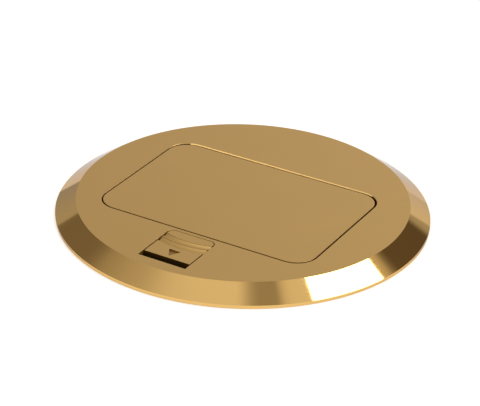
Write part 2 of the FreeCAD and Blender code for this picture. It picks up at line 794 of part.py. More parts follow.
def panel_top(out):
    """Where a line parallel to the panel meets the middle of the top web."""
    return panel(f"(web_middle - panel_z + ({out}) * panel_sin) / panel_cos", out)


frame = Piece("tilt_frame")
frame.add("z", "web_bottom", "plate_bottom", rectangle("-frame_half", "frame_half", "-web_front", "web_rear"))
frame.add("x", "-frame_half", "frame_half", polygon(
    panel("-panel_half", "-plate_dish"), panel_top("-plate_dish"),
    panel_top("-plate_dish - sheet_steel"), panel("-panel_half", "-plate_dish - sheet_steel")))
for sign in ("-", ""):
    edges = sorted([f"{sign}frame_half", f"{sign}(frame_half - sheet_steel)"], key=number)
    frame.add("x", *edges, polygon(
        panel("-panel_half", "-plate_dish"), panel_top("-plate_dish"), ("cheek_rear", "web_middle"),
        ("cheek_rear", "hinge_z - lug_radius"), panel("-panel_half + cheek_low_back", "-plate_dish - 2 * cheek_low_back"),
        panel("-panel_half", "-plate_dish - cheek_low_back")))
    edges = sorted([f"{sign}ear_outer", f"{sign}ear_inner"], key=number)
    frame.add("x", *edges, polygon(
        ("ear_front", "plate_bottom"), ("hinge_y + pin_radius + ear_margin", "plate_bottom"),
        ("hinge_y + pin_radius + ear_margin", "hinge_z - pin_radius"),
        ("hinge_y + pin_radius", "hinge_z - pin_radius - ear_margin"),
        ("hinge_y - pin_radius", "hinge_z - pin_radius - ear_margin"), ("ear_front", "web_bottom")))
frame.cut("x", "-frame_half + sheet_steel", "frame_half - sheet_steel",
          circle("hinge_y", "hinge_z", "pin_bore"))
frame.cut("x", "-device_cut_half", "device_cut_half", polygon(
    panel("-device_cut_side", "-plate_dish + cut_over"), panel("device_cut_side", "-plate_dish + cut_over"),
    panel("device_cut_side", "-plate_dish - sheet_steel - cut_over"),
    panel("-device_cut_side", "-plate_dish - sheet_steel - cut_over")))
frame.cut("z", "web_bottom - cut_over", "plate_bottom + cut_over", *[
    circle(x, y, "lid_screw_radius") for x, y in lid_screw_spots], *[
    circle(f"{sign}rivet_x", "-rivet_y", "rivet_radius") for sign in ("-", "")])

device_screw_spots = [(f"{sign}device_screw_x", "0") for sign in ("-", "")]
frame.drill_leaning(panel("0", "-plate_dish + cut_over"), "90 + panel_lean", "sheet_steel + 2 * cut_over", *[
    circle(x, y, "device_screw_radius") for x, y in device_screw_spots])

strike = Piece("strike_plate")
strike.add("y", "-strike_front", "-strike_rear", rectangle(
    "-strike_half", "strike_half", "strike_bottom", "plate_bottom"))
strike.add("z", "web_bottom - sheet_steel", "web_bottom", *both_sides(
    "strike_slot_half + sheet_steel", "strike_half", "-strike_rear - sheet_steel / 2", "-strike_rear + strike_foot"))
strike.cut("y", "-strike_front - cut_over", "-strike_rear + cut_over", rectangle(
    "-strike_slot_half", "strike_slot_half", "slot_bottom", "slot_top"))
strike.cut("z", "web_bottom - sheet_steel - cut_over", "web_bottom + cut_over", *[
    circle(f"{sign}rivet_x", "-rivet_y", "rivet_radius") for sign in ("-", "")])

rivets = Piece("strike_rivets")
rivets.add("z", "web_bottom - sheet_steel - rivet_head_height", "web_bottom - sheet_steel", *[
    circle(f"{sign}rivet_x", "-rivet_y", "rivet_head") for sign in ("-", "")])
rivets.add("z", "web_bottom - sheet_steel", "plate_bottom", *[
    circle(f"{sign}rivet_x", "-rivet_y", "rivet_radius") for sign in ("-", "")])

lid_screws = Piece("lid_screws")
lid_screws.add("z", "web_bottom - screw_head_height", "web_bottom", *[
    circle(x, y, "lid_screw_head") for x, y in lid_screw_spots])
lid_screws.add("z", "web_bottom", "plate_bottom + tapped_depth", *[
    circle(x, y, "lid_screw_radius") for x, y in lid_screw_spots])

# ---------------------------------------------------------------- receptacle on the panel

def panel_piece(name):
    piece = Piece(name)
    piece.place("panel_y", "panel_z", "90 + panel_lean")
    return piece


plate = panel_piece("device_plate")
plate.add("z", "-plate_dish", "0", rounded(
    "-frame_half", "frame_half", "-panel_half", "panel_half", "plate_corner"))
plate.cut("z", "-plate_dish - cut_over", "-plate_sheet", rounded(
    "-frame_half + plate_sheet", "frame_half - plate_sheet", "-panel_half + plate_sheet",
    "panel_half - plate_sheet", "plate_corner - plate_sheet"))
plate.cut("z", "-plate_dish", "cut_over", *[
    flat_sided(f"{sign}socket_x", "0", "socket_radius + socket_gap", "socket_flat + socket_gap")
    for sign in ("-", "")], circle("0", "0", "device_screw_radius"))

face = panel_piece("receptacle_face")
face.add("z", "-device_base_depth", "-device_base_top", rectangle(
    "-device_half", "device_half", "-device_front_half", "device_front_half"))
face.add("z", "-device_base_top", "socket_proud", *[
    flat_sided(f"{sign}socket_x", "0", "socket_radius", "socket_flat") for sign in ("-", "")])


def socket_slots():
    loops = []
    for middle in ("-socket_x", "socket_x"):
        for side, length in (("-", "blade_long"), ("", "blade_short")):
            loops.append(rectangle(
                f"{middle} + blade_offset - {length} / 2", f"{middle} + blade_offset + {length} / 2",
                f"{side}blade_y - blade_width / 2", f"{side}blade_y + blade_width / 2"))
        loops.append(circle(f"{middle} - earth_offset", "0", "earth_radius"))
    return loops


face.cut("z", "-device_base_depth - cut_over", "socket_proud + cut_over", *socket_slots(),
         circle("0", "0", "device_screw_radius"))

housing = panel_piece("receptacle_body")
housing.add("z", "-device_step_depth", "-device_base_depth", rectangle(
    "-device_half", "device_half", "-device_front_half", "device_front_half"))
housing.add("z", "-device_depth", "-device_step_depth", rectangle(
    "-device_half", "device_half", "-device_back_half", "device_back_half"))
housing.cut("z", "-device_base_depth - socket_depth", "-device_base_depth + cut_over", *socket_slots())
housing.cut("z", "-device_base_depth - socket_depth", "-device_base_depth + cut_over", *[
    rectangle("-contact_half - contact_gap", "contact_half + contact_gap", *edges) for edges in (
        ("contact_inner", "contact_outer + contact_gap"), ("-contact_outer - contact_gap", "-contact_inner"))])
housing.cut("z", "-device_screw_length - cut_over", "-device_base_depth + cut_over",
            circle("0", "0", "device_screw_radius"))
terminal_spots = [(f"{sign}terminal_x", "-terminal_depth") for sign in ("-", "")]
for low, high in (("contact_outer", "device_back_half + cut_over"), ("-device_back_half - cut_over", "-contact_outer")):
    housing.cut("y", low, high, *[circle(x, z, "terminal_radius") for x, z in terminal_spots])

contacts = panel_piece("receptacle_contacts")
contacts.add("z", "-device_base_depth - socket_depth + contact_gap", "-device_base_depth - contact_gap", *[
    rectangle("-contact_half", "contact_half", *edges) for edges in (
        ("contact_inner", "contact_outer"), ("-contact_outer", "-contact_inner"))])

strap = panel_piece("receptacle_strap")
strap.add("y", "-strap_bar_half", "strap_bar_half", polygon(
    ("-strap_half", "-plate_dish"), ("-device_half - strap_sheet", "-plate_dish"),
    ("-device_half - strap_sheet", "-strap_back"), ("device_half + strap_sheet", "-strap_back"),
    ("device_half + strap_sheet", "-plate_dish"), ("strap_half", "-plate_dish"),
    ("strap_half", "-plate_dish + strap_sheet"), ("device_half", "-plate_dish + strap_sheet"),
    ("device_half", "-device_depth"), ("-device_half", "-device_depth"),
    ("-device_half", "-plate_dish + strap_sheet"), ("-strap_half", "-plate_dish + strap_sheet")))
strap.add("z", "-plate_dish", "-plate_dish + strap_sheet", *both_sides(
    "strap_leg", "strap_half", "-strap_ear_half", "strap_ear_half"))
strap.cut("z", "-plate_dish - cut_over", "-plate_dish + strap_sheet + cut_over", *[
    circle(x, y, "device_screw_radius") for x, y in device_screw_spots])
strap.cut("z", "-strap_back - cut_over", "-device_depth", circle("-earth_screw_x", "0", "device_screw_radius"))

terminals = panel_piece("terminal_screws")
for low, high, head_low, head_high in (
        ("contact_outer", "device_back_half", "device_back_half", "device_back_half + terminal_head_height"),
        ("-device_back_half", "-contact_outer", "-device_back_half - terminal_head_height", "-device_back_half")):
    terminals.add("y", low, high, *[circle(x, z, "terminal_radius") for x, z in terminal_spots])
    terminals.add("y", head_low, head_high, *[circle(x, z, "terminal_head") for x, z in terminal_spots])

earth_screw = panel_piece("receptacle_ground_screw")
earth_screw.add("z", "-strap_back", "-device_depth", circle("-earth_screw_x", "0", "device_screw_radius"))
earth_screw.add("z", "-strap_back - terminal_head_height", "-strap_back", circle(
    "-earth_screw_x", "0", "earth_screw_head"))

device_screws = panel_piece("device_screws")
device_screws.add("z", "-plate_dish + strap_sheet", "-plate_dish + strap_sheet + screw_head_height", *[
    circle(x, y, "device_screw_head") for x, y in device_screw_spots])
device_screws.add("z", "-device_screw_length", "-plate_dish + strap_sheet", *[
    circle(x, y, "device_screw_radius") for x, y in device_screw_spots])

plate_screw = panel_piece("device_plate_screw")
plate_screw.add("z", "0", "screw_head_height", circle("0", "0", "device_screw_head"))
plate_screw.add("z", "-device_screw_length", "0", circle("0", "0", "device_screw_radius"))

# ---------------------------------------------------------------- latch
slide = Piece("latch_slide")
slide.place("-rib_centre", "0")


def from_ribs(distance):
    """Y in the slide's own frame, whose origin is the centre of the curved finger ribs."""
    return f"rib_centre - ({distance})"


block = slide.add("z", "latch_bottom", "latch_top", rectangle(
    "-latch_half", "latch_half", from_ribs("latch_front"), from_ribs("latch_rear")))
slide.soften(block, "latch_corner", lambda box: box.ZLength > 1 and box.YMax > number("-latch_rear - 0.1"))
slide.add("z", "latch_bottom", "wing_top", rectangle(
    "-wing_half", "wing_half", from_ribs("wing_front"), from_ribs("wing_rear")))
slide.add("z", "bolt_top", "latch_bottom", rectangle(
    "-bolt_foot_half", "bolt_foot_half", from_ribs("bolt_front"), from_ribs("wing_rear")))
slide.cut("z", "latch_top - arrow_depth", "latch_top + cut_over", polygon(
    ("-arrow_half", from_ribs("arrow_base")), ("0", from_ribs("arrow_base + arrow_length")),
    ("arrow_half", from_ribs("arrow_base"))))
slide.cut("z", "bolt_top - cut_over", "latch_bottom + tapped_depth", *[
    circle("0", from_ribs(row), "bolt_screw_radius") for row in ("bolt_screw_one", "bolt_screw_two")])
second_rib = "rib_radius + rib_width_one + rib_land"
slide.turn("Groove", *[
    scoop(start, width, "latch_top", "rib_depth")
    for start, width in (("rib_radius", "rib_width_one"), (second_rib, "rib_width_two"))], role="YZ_Plane")

bolt = Piece("latch_bolt")
bolt.add("x", "-bolt_half", "bolt_half", polygon(
    ("-bolt_front", "bolt_bottom"), ("-bolt_tip", "bolt_bottom"), ("-bolt_tip", "bolt_bottom + bolt_tip_edge"),
    ("-bolt_tip - bolt_bevel", "bolt_top"), ("-bolt_front", "bolt_top")))
bolt_screw_rows = ("bolt_screw_one", "bolt_screw_two")
bolt.cut("z", "bolt_bottom - cut_over", "bolt_top + cut_over", *[
    circle("0", f"-{row}", "bolt_screw_radius") for row in bolt_screw_rows])
bolt.cut("z", "bolt_bottom - cut_over", "bolt_bottom + bolt_thickness / 2", *[
    circle("0", f"-{row}", "bolt_screw_head") for row in bolt_screw_rows])

bolt_screws = Piece("latch_bolt_screws")
bolt_screws.add("z", "bolt_bottom", "bolt_bottom + bolt_thickness / 2", *[
    circle("0", f"-{row}", "bolt_screw_head") for row in bolt_screw_rows])
bolt_screws.add("z", "bolt_bottom + bolt_thickness / 2", "latch_bottom + tapped_depth", *[
    circle("0", f"-{row}", "bolt_screw_radius") for row in bolt_screw_rows])

guide = Piece("latch_guide")
guide.add("z", "guide_bottom", "guide_bottom + guide_sheet", rectangle(
    "-guide_half", "guide_half", "-guide_front", "-guide_rear"))
guide.add("z", "guide_bottom", "plate_bottom", *both_sides(
    "guide_inner", "guide_half", "-guide_front", "-guide_rear"))
guide.add("z", "guide_bottom", "plate_bottom - contact_gap", rectangle(
    "-guide_half", "guide_half", "-guide_front", "-guide_front + guide_sheet"))
guide.add("z", "plate_bottom - guide_sheet", "plate_bottom", *both_sides(
    "guide_inner", "guide_foot_half", "-guide_front", "-guide_rear"))
guide.add("z", "latch_bottom - contact_gap - guide_sheet", "latch_bottom - contact_gap", *both_sides(
    "latch_half + cut_over", "guide_half", "-guide_rail_front", "-guide_rail_rear"))
guide_screw_spots = [(f"{sign}guide_screw_x", f"-{row}") for sign in ("-", "")
                     for row in ("guide_screw_front", "guide_screw_rear")]
guide.cut("z", "plate_bottom - guide_sheet - cut_over", "plate_bottom + cut_over", *[
    circle(x, y, "guide_screw_radius") for x, y in guide_screw_spots])

guide_screws = Piece("latch_guide_screws")
guide_screws.add("z", "plate_bottom - guide_sheet - screw_head_height", "plate_bottom - guide_sheet", *[
    circle(x, y, "guide_screw_head") for x, y in guide_screw_spots])
guide_screws.add("z", "plate_bottom - guide_sheet", "plate_bottom + tapped_depth", *[
    circle(x, y, "guide_screw_radius") for x, y in guide_screw_spots])



def latch_spring(side, sign):
    """Compression coil between a wing of the latch and the guide's front wall."""
    radius, front, rear = (number(name) for name in ("latch_coil_radius", "latch_coil_front", "latch_coil_rear"))
    points = []
    for share, across, up in coil_points(0, number("latch_coil_turns"), 12):
        points.append(vector(sign * number("latch_coil_x") + radius * across, -front + share * (front - rear),
                             number("latch_coil_z") + radius * up))
    WireForm(f"latch_spring_{side}", points, number("latch_coil_wire"))


latch_spring("left", -1)
latch_spring("right", 1)

# ---------------------------------------------------------------- box below the floor
box = Piece("back_box")
box.add("z", "-box_bottom", "0", rounded(
    "-box_outer", "box_outer", "-box_outer_front", "box_outer_rear", "box_corner + box_sheet"))
box.cut("z", "-box_depth", "cut_over", rounded(
    "-box_half", "box_half", "-box_front", "box_rear", "box_corner"))
knockout = circle("knockout_y", "-knockout_depth", "knockout_radius")
cross_knockouts = [circle(f"{sign}knockout_x", "-knockout_depth", "knockout_radius") for sign in ("-", "")]
box.cut("x", "-box_outer - cut_over", "-box_half + cut_over", knockout)
box.cut("x", "box_half - cut_over", "box_outer + cut_over", knockout)
box.cut("y", "-box_outer_front - cut_over", "-box_front + cut_over", *cross_knockouts)
box.cut("y", "box_rear - cut_over", "box_outer_rear + cut_over", *cross_knockouts)
box.cut("z", "-box_bottom - cut_over", "-box_depth + cut_over", circle(
    "ground_screw_x", "ground_screw_y", "ground_screw_radius"))

discs = Piece("knockout_discs")
small = "knockout_radius - knockout_gap"
discs.add("x", "-box_outer", "-box_half", circle("knockout_y", "-knockout_depth", small))
for low, high in (("-box_outer_front", "-box_front"), ("box_rear", "box_outer_rear")):
    discs.add("y", low, high, *[
        circle(f"{sign}knockout_x", "-knockout_depth", small) for sign in ("-", "")])

ring = Piece("mounting_ring")
ring.add("z", "0", "ring_sheet", circle("0", "0", "ring_outer"))
ring.cut("z", "-cut_over", "ring_sheet + cut_over", rounded(
    "-ring_half", "ring_half", "-ring_front", "ring_rear", "open_corner"))
ring.cut("z", "-cut_over", "ring_sheet + cut_over", rectangle(
    "-ring_notch_half", "ring_notch_half", "-ring_outer - cut_over", "-ring_front + cut_over"))
floor_screw_spots = [(f"floor_screw_circle * cos({turn} deg)", f"floor_screw_circle * sin({turn} deg)")
                     for turn in range(0, 360, 60)]
ring.cut("z", "-cut_over", "ring_sheet + cut_over", *[
    circle(x, y, "floor_screw_radius") for x, y in floor_screw_spots])

cover_screw_spots = [(f"{sign}cover_screw_x", "-cover_screw_y") for sign in ("-", "")]
brackets = Piece("cover_brackets")
brackets.add("z", "-box_sheet", "0", *both_sides("bracket_inner", "box_half", "-bracket_front", "-bracket_rear"))
brackets.add("z", "-bracket_drop", "-box_sheet", *both_sides(
    "box_half - box_sheet", "box_half", "-bracket_front", "-bracket_rear"))
brackets.cut("z", "-box_sheet - cut_over", "cut_over", *[
    circle(x, y, "cover_screw_radius") for x, y in cover_screw_spots])

cover_screws = Piece("cover_screws")
cover_screws.add("z", "ledge_top - screw_head_height", "ledge_top", *[
    circle(x, y, "cover_screw_head") for x, y in cover_screw_spots])
cover_screws.add("z", "-box_sheet - cover_screw_tail", "ledge_top - screw_head_height", *[
    circle(x, y, "cover_screw_radius") for x, y in cover_screw_spots])

ground_screw = Piece("ground_screw")
ground_screw.add("z", "-box_bottom", "-box_depth", circle(
    "ground_screw_x", "ground_screw_y", "ground_screw_radius"))
ground_screw.add("z", "-box_depth", "-box_depth + ground_screw_height", circle(
    "ground_screw_x", "ground_screw_y", "ground_screw_head"))

# ---------------------------------------------------------------- check and export
doc.recompute()
faults = [item.Name for item in doc.Objects if "Invalid" in item.State or "Error" in item.State]
if faults:
    raise RuntimeError("features that did not rebuild: " + ", ".join(faults))
for piece in Piece.made:
    shape = piece.body.Shape
    if shape.isNull() or not shape.isValid() or not shape.Solids:
        raise RuntimeError(f"{piece.name} has no valid solid")
    shape.exportStep(f"parts/{piece.name}.step")
    print(piece.name, len(shape.Solids), round(shape.Volume, 1))
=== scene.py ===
import math

import bmesh
import bpy
from mathutils import Matrix, Vector


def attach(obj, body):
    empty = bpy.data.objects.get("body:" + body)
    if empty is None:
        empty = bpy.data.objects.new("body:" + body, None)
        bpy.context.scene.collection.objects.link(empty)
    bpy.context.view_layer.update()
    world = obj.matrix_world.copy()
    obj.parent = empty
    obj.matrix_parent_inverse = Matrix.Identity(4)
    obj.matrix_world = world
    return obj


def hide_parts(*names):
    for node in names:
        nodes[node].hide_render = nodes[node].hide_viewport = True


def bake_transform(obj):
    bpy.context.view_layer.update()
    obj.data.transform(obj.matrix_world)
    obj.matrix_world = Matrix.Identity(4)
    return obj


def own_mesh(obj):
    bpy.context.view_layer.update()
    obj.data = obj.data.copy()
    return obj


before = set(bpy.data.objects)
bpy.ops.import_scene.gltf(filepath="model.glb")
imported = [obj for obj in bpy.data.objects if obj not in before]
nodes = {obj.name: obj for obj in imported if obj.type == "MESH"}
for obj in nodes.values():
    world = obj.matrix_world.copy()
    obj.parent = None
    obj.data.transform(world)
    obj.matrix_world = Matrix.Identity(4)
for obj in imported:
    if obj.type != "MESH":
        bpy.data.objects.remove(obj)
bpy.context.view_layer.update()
mm = 0.001


def linearColour(hexText):
    # sRGB hex to the linear values that Blender's sockets take
    channels = []
    for start in (0, 2, 4):
        value = int(hexText[start:start + 2], 16) / 255
        channels.append(value / 12.92 if value <= 0.04045 else ((value + 0.055) / 1.055) ** 2.4)
    return (*channels, 1)


def addNode(tree, kind, settings=None, links=None):
    node = tree.nodes.new(kind)
    for name, value in (settings or {}).items():
        if isinstance(name, int) or name in node.inputs:
            node.inputs[name].default_value = value
        else:
            setattr(node, name, value)
    for name, (source, output) in (links or {}).items():
        tree.links.new(source.outputs[output], node.inputs[name])
    return node


def newMaterial(name):
    material = bpy.data.materials.new(name)
    material.use_nodes = True
    tree = material.node_tree
    tree.nodes.clear()
    output = addNode(tree, "ShaderNodeOutputMaterial")
    place = addNode(tree, "ShaderNodeTexCoord")
    return material, tree, output, place


def giveMaterial(material, *names):
    for name in names:
        mesh = nodes[name].data
        mesh.materials.clear()
        mesh.materials.append(material)


# camera
camera = {
    "azimuth": 29.5103,
    "elevation": 28.1251,
    "roll": 1.7239,
    "flangeRadius": 89 * mm,
    "distance": 10.6892,  # in flange radii
    "shiftRight": -0.0153,
    "shiftUp": 0.048,
    "focalInWidths": 4.16471875,
    "sensorWidth": 36,
    "clip": (0.05, 50),
}


def buildCamera():
    azimuth, elevation, roll = (math.radians(camera[key]) for key in ("azimuth", "elevation", "roll"))
    back = Vector((math.sin(azimuth) * math.cos(elevation), -math.cos(azimuth) * math.cos(elevation),
                   math.sin(elevation)))
    right = Vector((math.cos(azimuth), math.sin(azimuth), 0))
    up = back.cross(right)
    rolledRight = math.cos(roll) * right + math.sin(roll) * up
    rolledUp = math.cos(roll) * up - math.sin(roll) * right
    place = back * camera["distance"] + rolledRight * camera["shiftRight"] + rolledUp * camera["shiftUp"]
    data = bpy.data.cameras.new("productCamera")
    data.sensor_width = camera["sensorWidth"]
    data.lens = camera["focalInWidths"] * camera["sensorWidth"]
    data.clip_start, data.clip_end = camera["clip"]
    item = bpy.data.objects.new("productCamera", data)
    bpy.context.scene.collection.objects.link(item)
    turn = Matrix((rolledRight, rolledUp, back)).transposed()
    item.matrix_world = Matrix.Translation(place * camera["flangeRadius"]) @ turn.to_4x4()
    bpy.context.scene.camera = item


buildCamera()
print("camera placed")

# room
room = {
    "floorColour": "E2E1DE",
    "floorSize": 6.0,
    "floorHole": 85 * mm,
    "floorSides": 96,
    "floorDrop": 0.15 * mm,
    "shownFloor": 0.45,  # added where the camera, metal or glass sees the floor
    "lampDistance": 1.6,
    "lampDirection": (132.5, 57.0),
    "lampEnds": ((113.8, 69.5), (146.0, 45.0)),
    "lampHeight": 0.5,
    "lampPower": 9.0,
    # second, wide box high over the viewer
    "fillDirection": (-38.0, 40.0),
    "fillSize": (0.5, 0.7),
    "fillPower": 4.4,
    # height above the horizon as a sine, and the colour of the dim side walls there
    "sides": (
        (0.0, "E8E6E2"),
        (0.2, "C9C6C0"),
        (0.42, "98928A"),
        (0.6, "8F887E"),
        (0.8, "C4BEB5"),
        (1.0, "E4E2DE"),
    ),
    # pale screen behind the object: its edges, its top and its colours from left to right
    "screenEdges": (-112.0, 176.0),
    "screenBlur": 0.008,
    "screenTop": 43.0,
    "screenSoft": 16.0,
    "screenLeft": "C0BEBA",
    "screenRight": "F8F5F0",
    "screenTurn": (-128.0, -172.0),
    # azimuth, elevation, half width, soft edge (degrees) and colour of what else stands around
    "patches": (
        (-106, 30, 6, 16, "857D73"),
        (-8, 86, 9, 21, "F6F3EE"),
        (104, 77, 6, 8.5, "ABA69D"),
        (165, 30, 12, 5, "6A5E50"),
        (112, 72, 0.5, 7, "F4F0E8"),
        (147, 46, 0.5, 6, "D8CDBB"),
        (-52, 24, 12, 12, "EFECE6"),
    ),
}


def direction(azimuth, elevation):
    # azimuth 0 looks from -Y, 90 from +X
    turn, rise = math.radians(azimuth), math.radians(elevation)
    return Vector((math.sin(turn) * math.cos(rise), -math.cos(turn) * math.cos(rise), math.sin(rise)))


def buildLamp(name, aim, side, width, height, power):
    data = bpy.data.lights.new(name, "AREA")
    data.shape = "RECTANGLE"
    data.size = width
    data.size_y = height
    data.energy = power
    item = bpy.data.objects.new(name, data)
    bpy.context.scene.collection.objects.link(item)
    side = (side - side.dot(aim) * aim).normalized()
    turn = Matrix((side, aim.cross(side), aim)).transposed()
    item.matrix_world = Matrix.Translation(aim * room["lampDistance"]) @ turn.to_4x4()


def buildLamps():
    start, end = (direction(*corner) for corner in room["lampEnds"])
    width = (end - start).length * room["lampDistance"]
    buildLamp("sideSoftbox", direction(*room["lampDirection"]), end - start, width, room["lampHeight"],
              room["lampPower"])
    azimuth = math.radians(room["fillDirection"][0])
    level = Vector((math.cos(azimuth), math.sin(azimuth), 0))
    buildLamp("frontSoftbox", direction(*room["fillDirection"]), level, *room["fillSize"], room["fillPower"])


def buildFloor():
    # a wide disc with a hole for the box, which the cover's edge hides
    mesh = bpy.data.meshes.new("studioFloor")
    low, sides = -room["floorDrop"], room["floorSides"]
    points, faces = [], []
    for side in range(sides):
        angle, following = 2 * math.pi * side / sides, (side + 1) % sides
        for radius in (room["floorHole"], room["floorSize"]):
            points.append((radius * math.cos(angle), radius * math.sin(angle), low))
        faces.append((2 * side, 2 * side + 1, 2 * following + 1, 2 * following))
    mesh.from_pydata(points, [], faces)
    floor = bpy.data.objects.new("studioFloor", mesh)
    bpy.context.scene.collection.objects.link(floor)
    # painted board: flat and white, with the object's soft shadow on it
    material, tree, output, place = newMaterial("paleStudioFloor")
    path = addNode(tree, "ShaderNodeLightPath")
    diffuse = addNode(tree, "ShaderNodeBsdfDiffuse", {"Color": linearColour(room["floorColour"])})
    mirrored = addNode(tree, "ShaderNodeMath", {"operation": "MAXIMUM"},
                       {0: (path, "Is Glossy Ray"), 1: (path, "Is Transmission Ray")})
    seen = addNode(tree, "ShaderNodeMath", {"operation": "MAXIMUM"},
                   {0: (mirrored, 0), 1: (path, "Is Camera Ray")})
    level = addNode(tree, "ShaderNodeMath", {"operation": "MULTIPLY", 1: room["shownFloor"]}, {0: (seen, 0)})
    glow = addNode(tree, "ShaderNodeEmission", {"Color": (1, 1, 1, 1)}, {"Strength": (level, 0)})
    both = addNode(tree, "ShaderNodeAddShader", {}, {0: (diffuse, 0), 1: (glow, 0)})
    tree.links.new(both.outputs[0], output.inputs["Surface"])
    mesh.materials.append(material)


def buildWorld():
    world = bpy.data.worlds.new("studio")
    bpy.context.scene.world = world
    world.use_nodes = True
    tree = world.node_tree
    tree.nodes.clear()
    output = addNode(tree, "ShaderNodeOutputWorld")
    place = addNode(tree, "ShaderNodeTexCoord")
    unit = addNode(tree, "ShaderNodeVectorMath", {"operation": "NORMALIZE"}, {0: (place, "Generated")})
    height = addNode(tree, "ShaderNodeSeparateXYZ", {}, {0: (unit, 0)})
    ramp = addNode(tree, "ShaderNodeValToRGB", {}, {"Fac": (height, "Z")})
    stops = ramp.color_ramp.elements
    while len(stops) < len(room["sides"]):
        stops.new(0.5)
    for stop, (position, colour) in zip(stops, room["sides"]):
        stop.position = position
        stop.color = linearColour(colour)
    # the screen is the wedge between two upright planes, cut off softly at its top
    leftEdge, rightEdge = (direction(edge, 0) for edge in room["screenEdges"])
    upright = Vector((0, 0, 1))
    blur = room["screenBlur"]
    masks = []
    for inward in (leftEdge.cross(upright), upright.cross(rightEdge)):
        dot = addNode(tree, "ShaderNodeVectorMath", {"operation": "DOT_PRODUCT", 1: inward}, {0: (unit, 0)})
        masks.append(addNode(tree, "ShaderNodeMapRange", {"From Min": -blur, "From Max": blur},
                             {"Value": (dot, "Value")}))
    top = math.sin(math.radians(room["screenTop"]))
    under = math.sin(math.radians(room["screenTop"] - room["screenSoft"]))
    masks.append(addNode(tree, "ShaderNodeMapRange", {
        "interpolation_type": "SMOOTHSTEP", "From Min": top, "From Max": under}, {"Value": (height, "Z")}))
    wedge = addNode(tree, "ShaderNodeMath", {"operation": "MULTIPLY"}, {0: (masks[0], 0), 1: (masks[1], 0)})
    screen = addNode(tree, "ShaderNodeMath", {"operation": "MULTIPLY"}, {0: (wedge, 0), 1: (masks[2], 0)})
    # its colours run from the first turn to the second
    first, last = room["screenTurn"]
    across = direction((first + last) / 2, 0).cross(upright)
    reach = math.sin(math.radians(abs(last - first) / 2))
    along = addNode(tree, "ShaderNodeVectorMath", {"operation": "DOT_PRODUCT", 1: across}, {0: (unit, 0)})
    share = addNode(tree, "ShaderNodeMapRange", {
        "interpolation_type": "SMOOTHSTEP", "From Min": -reach, "From Max": reach},
        {"Value": (along, "Value")})
    sheet = addNode(tree, "ShaderNodeMix", {
        "data_type": "RGBA", 6: linearColour(room["screenLeft"]), 7: linearColour(room["screenRight"])},
        {0: (share, 0)})
    walled = addNode(tree, "ShaderNodeMix", {"data_type": "RGBA"},
                     {0: (screen, 0), 6: (ramp, "Color"), 7: (sheet, 2)})
    tone = (walled, 2)
    # the screen stands in front of the patches
    beside = addNode(tree, "ShaderNodeMath", {"operation": "SUBTRACT", 0: 1.0}, {1: (screen, 0)})
    for azimuth, elevation, half, soft, colour in room["patches"]:
        aim = direction(azimuth, elevation)
        match = addNode(tree, "ShaderNodeVectorMath", {"operation": "DOT_PRODUCT", 1: aim}, {0: (unit, 0)})
        mask = addNode(tree, "ShaderNodeMapRange", {
            "interpolation_type": "SMOOTHSTEP", "From Min": math.cos(math.radians(half + soft)),
            "From Max": math.cos(math.radians(half))}, {"Value": (match, "Value")})
        seen = addNode(tree, "ShaderNodeMath", {"operation": "MULTIPLY"}, {0: (mask, 0), 1: (beside, 0)})
        mixed = addNode(tree, "ShaderNodeMix", {"data_type": "RGBA", 7: linearColour(colour)},
                        {0: (seen, 0), 6: tone})
        tone = (mixed, 2)
    walls = addNode(tree, "ShaderNodeBackground", {}, {"Color": tone})
    tree.links.new(walls.outputs[0], output.inputs["Surface"])


buildLamps()
buildFloor()
buildWorld()
print("room lit")

# brass
brass = {
    "colour": "E1B974",
    "fittingColour": "DDB462",
    "edgeTint": "CED0DD",  # lacquer dims the metal where it is seen at a flat angle
    "sideShadeAndTarnishColour": "6B5129",  # painted shade: dull brown on the lid's sides, also the fittings' tarnish
    "windowShadeColour": "A3854A",  # painted shade on the walls and edge of the latch window
    "slideShadeColour": "8C6C3A",  # painted shade in the arrow, along the finger dips and on the slide's left side
    "cloudSize": 28 * mm,
    "cloudShade": 0.94,
    "tarnish": 0.3,
    "tarnishFrom": (0.5, 0.75),
    "topRoughness": 0.30,
    "fittingRoughness": 0.2,
    "roughnessSpread": (-0.02, 0.03),
    "bevelRoughness": 0.055,
    "wallRoughness": 0.45,
    "windowRoughness": 0.75,
    "latheMark": 0.35 * mm,
    "brushMark": 0.25 * mm,
    "brushStretch": 25,
    "markDepth": 0.02 * mm,
    "markStrength": 0.10,
    # a face counts as a wall once its normal's height falls from the first value to the second
    "lidWall": (0.97, 0.8),
    "latchWall": (0.6, 0.3),
    "bevelRadius": 79.2 * mm,
    "bevelBlur": 0.05 * mm,
    "windowEdge": (7.99 * mm, 7.9 * mm),
    "windowRear": -43.5 * mm,
    "ribCentre": -17.9 * mm,
    "ribLines": ((33.0, 33.5), (36.0, 35.8), (36.7, 37.3), (40.7, 40.4)),  # radii in mm: dark, clear again
    "arrowFront": -60.5 * mm,
    "arrowFloor": (7.6 * mm, 7.4 * mm),
    "arrowShade": 0.65,
    "slideEdge": -11.7 * mm,
    "clearFacing": 0.3,
    # rear wall of the lid's opening: where it is shaded as if eased, and the way that eased edge faces
    "rearWall": 34.8 * mm,
    "rearHeight": 7.4 * mm,
    "rearFacing": -0.6,
    "rearNormal": (0, -0.69, 0.72),
}


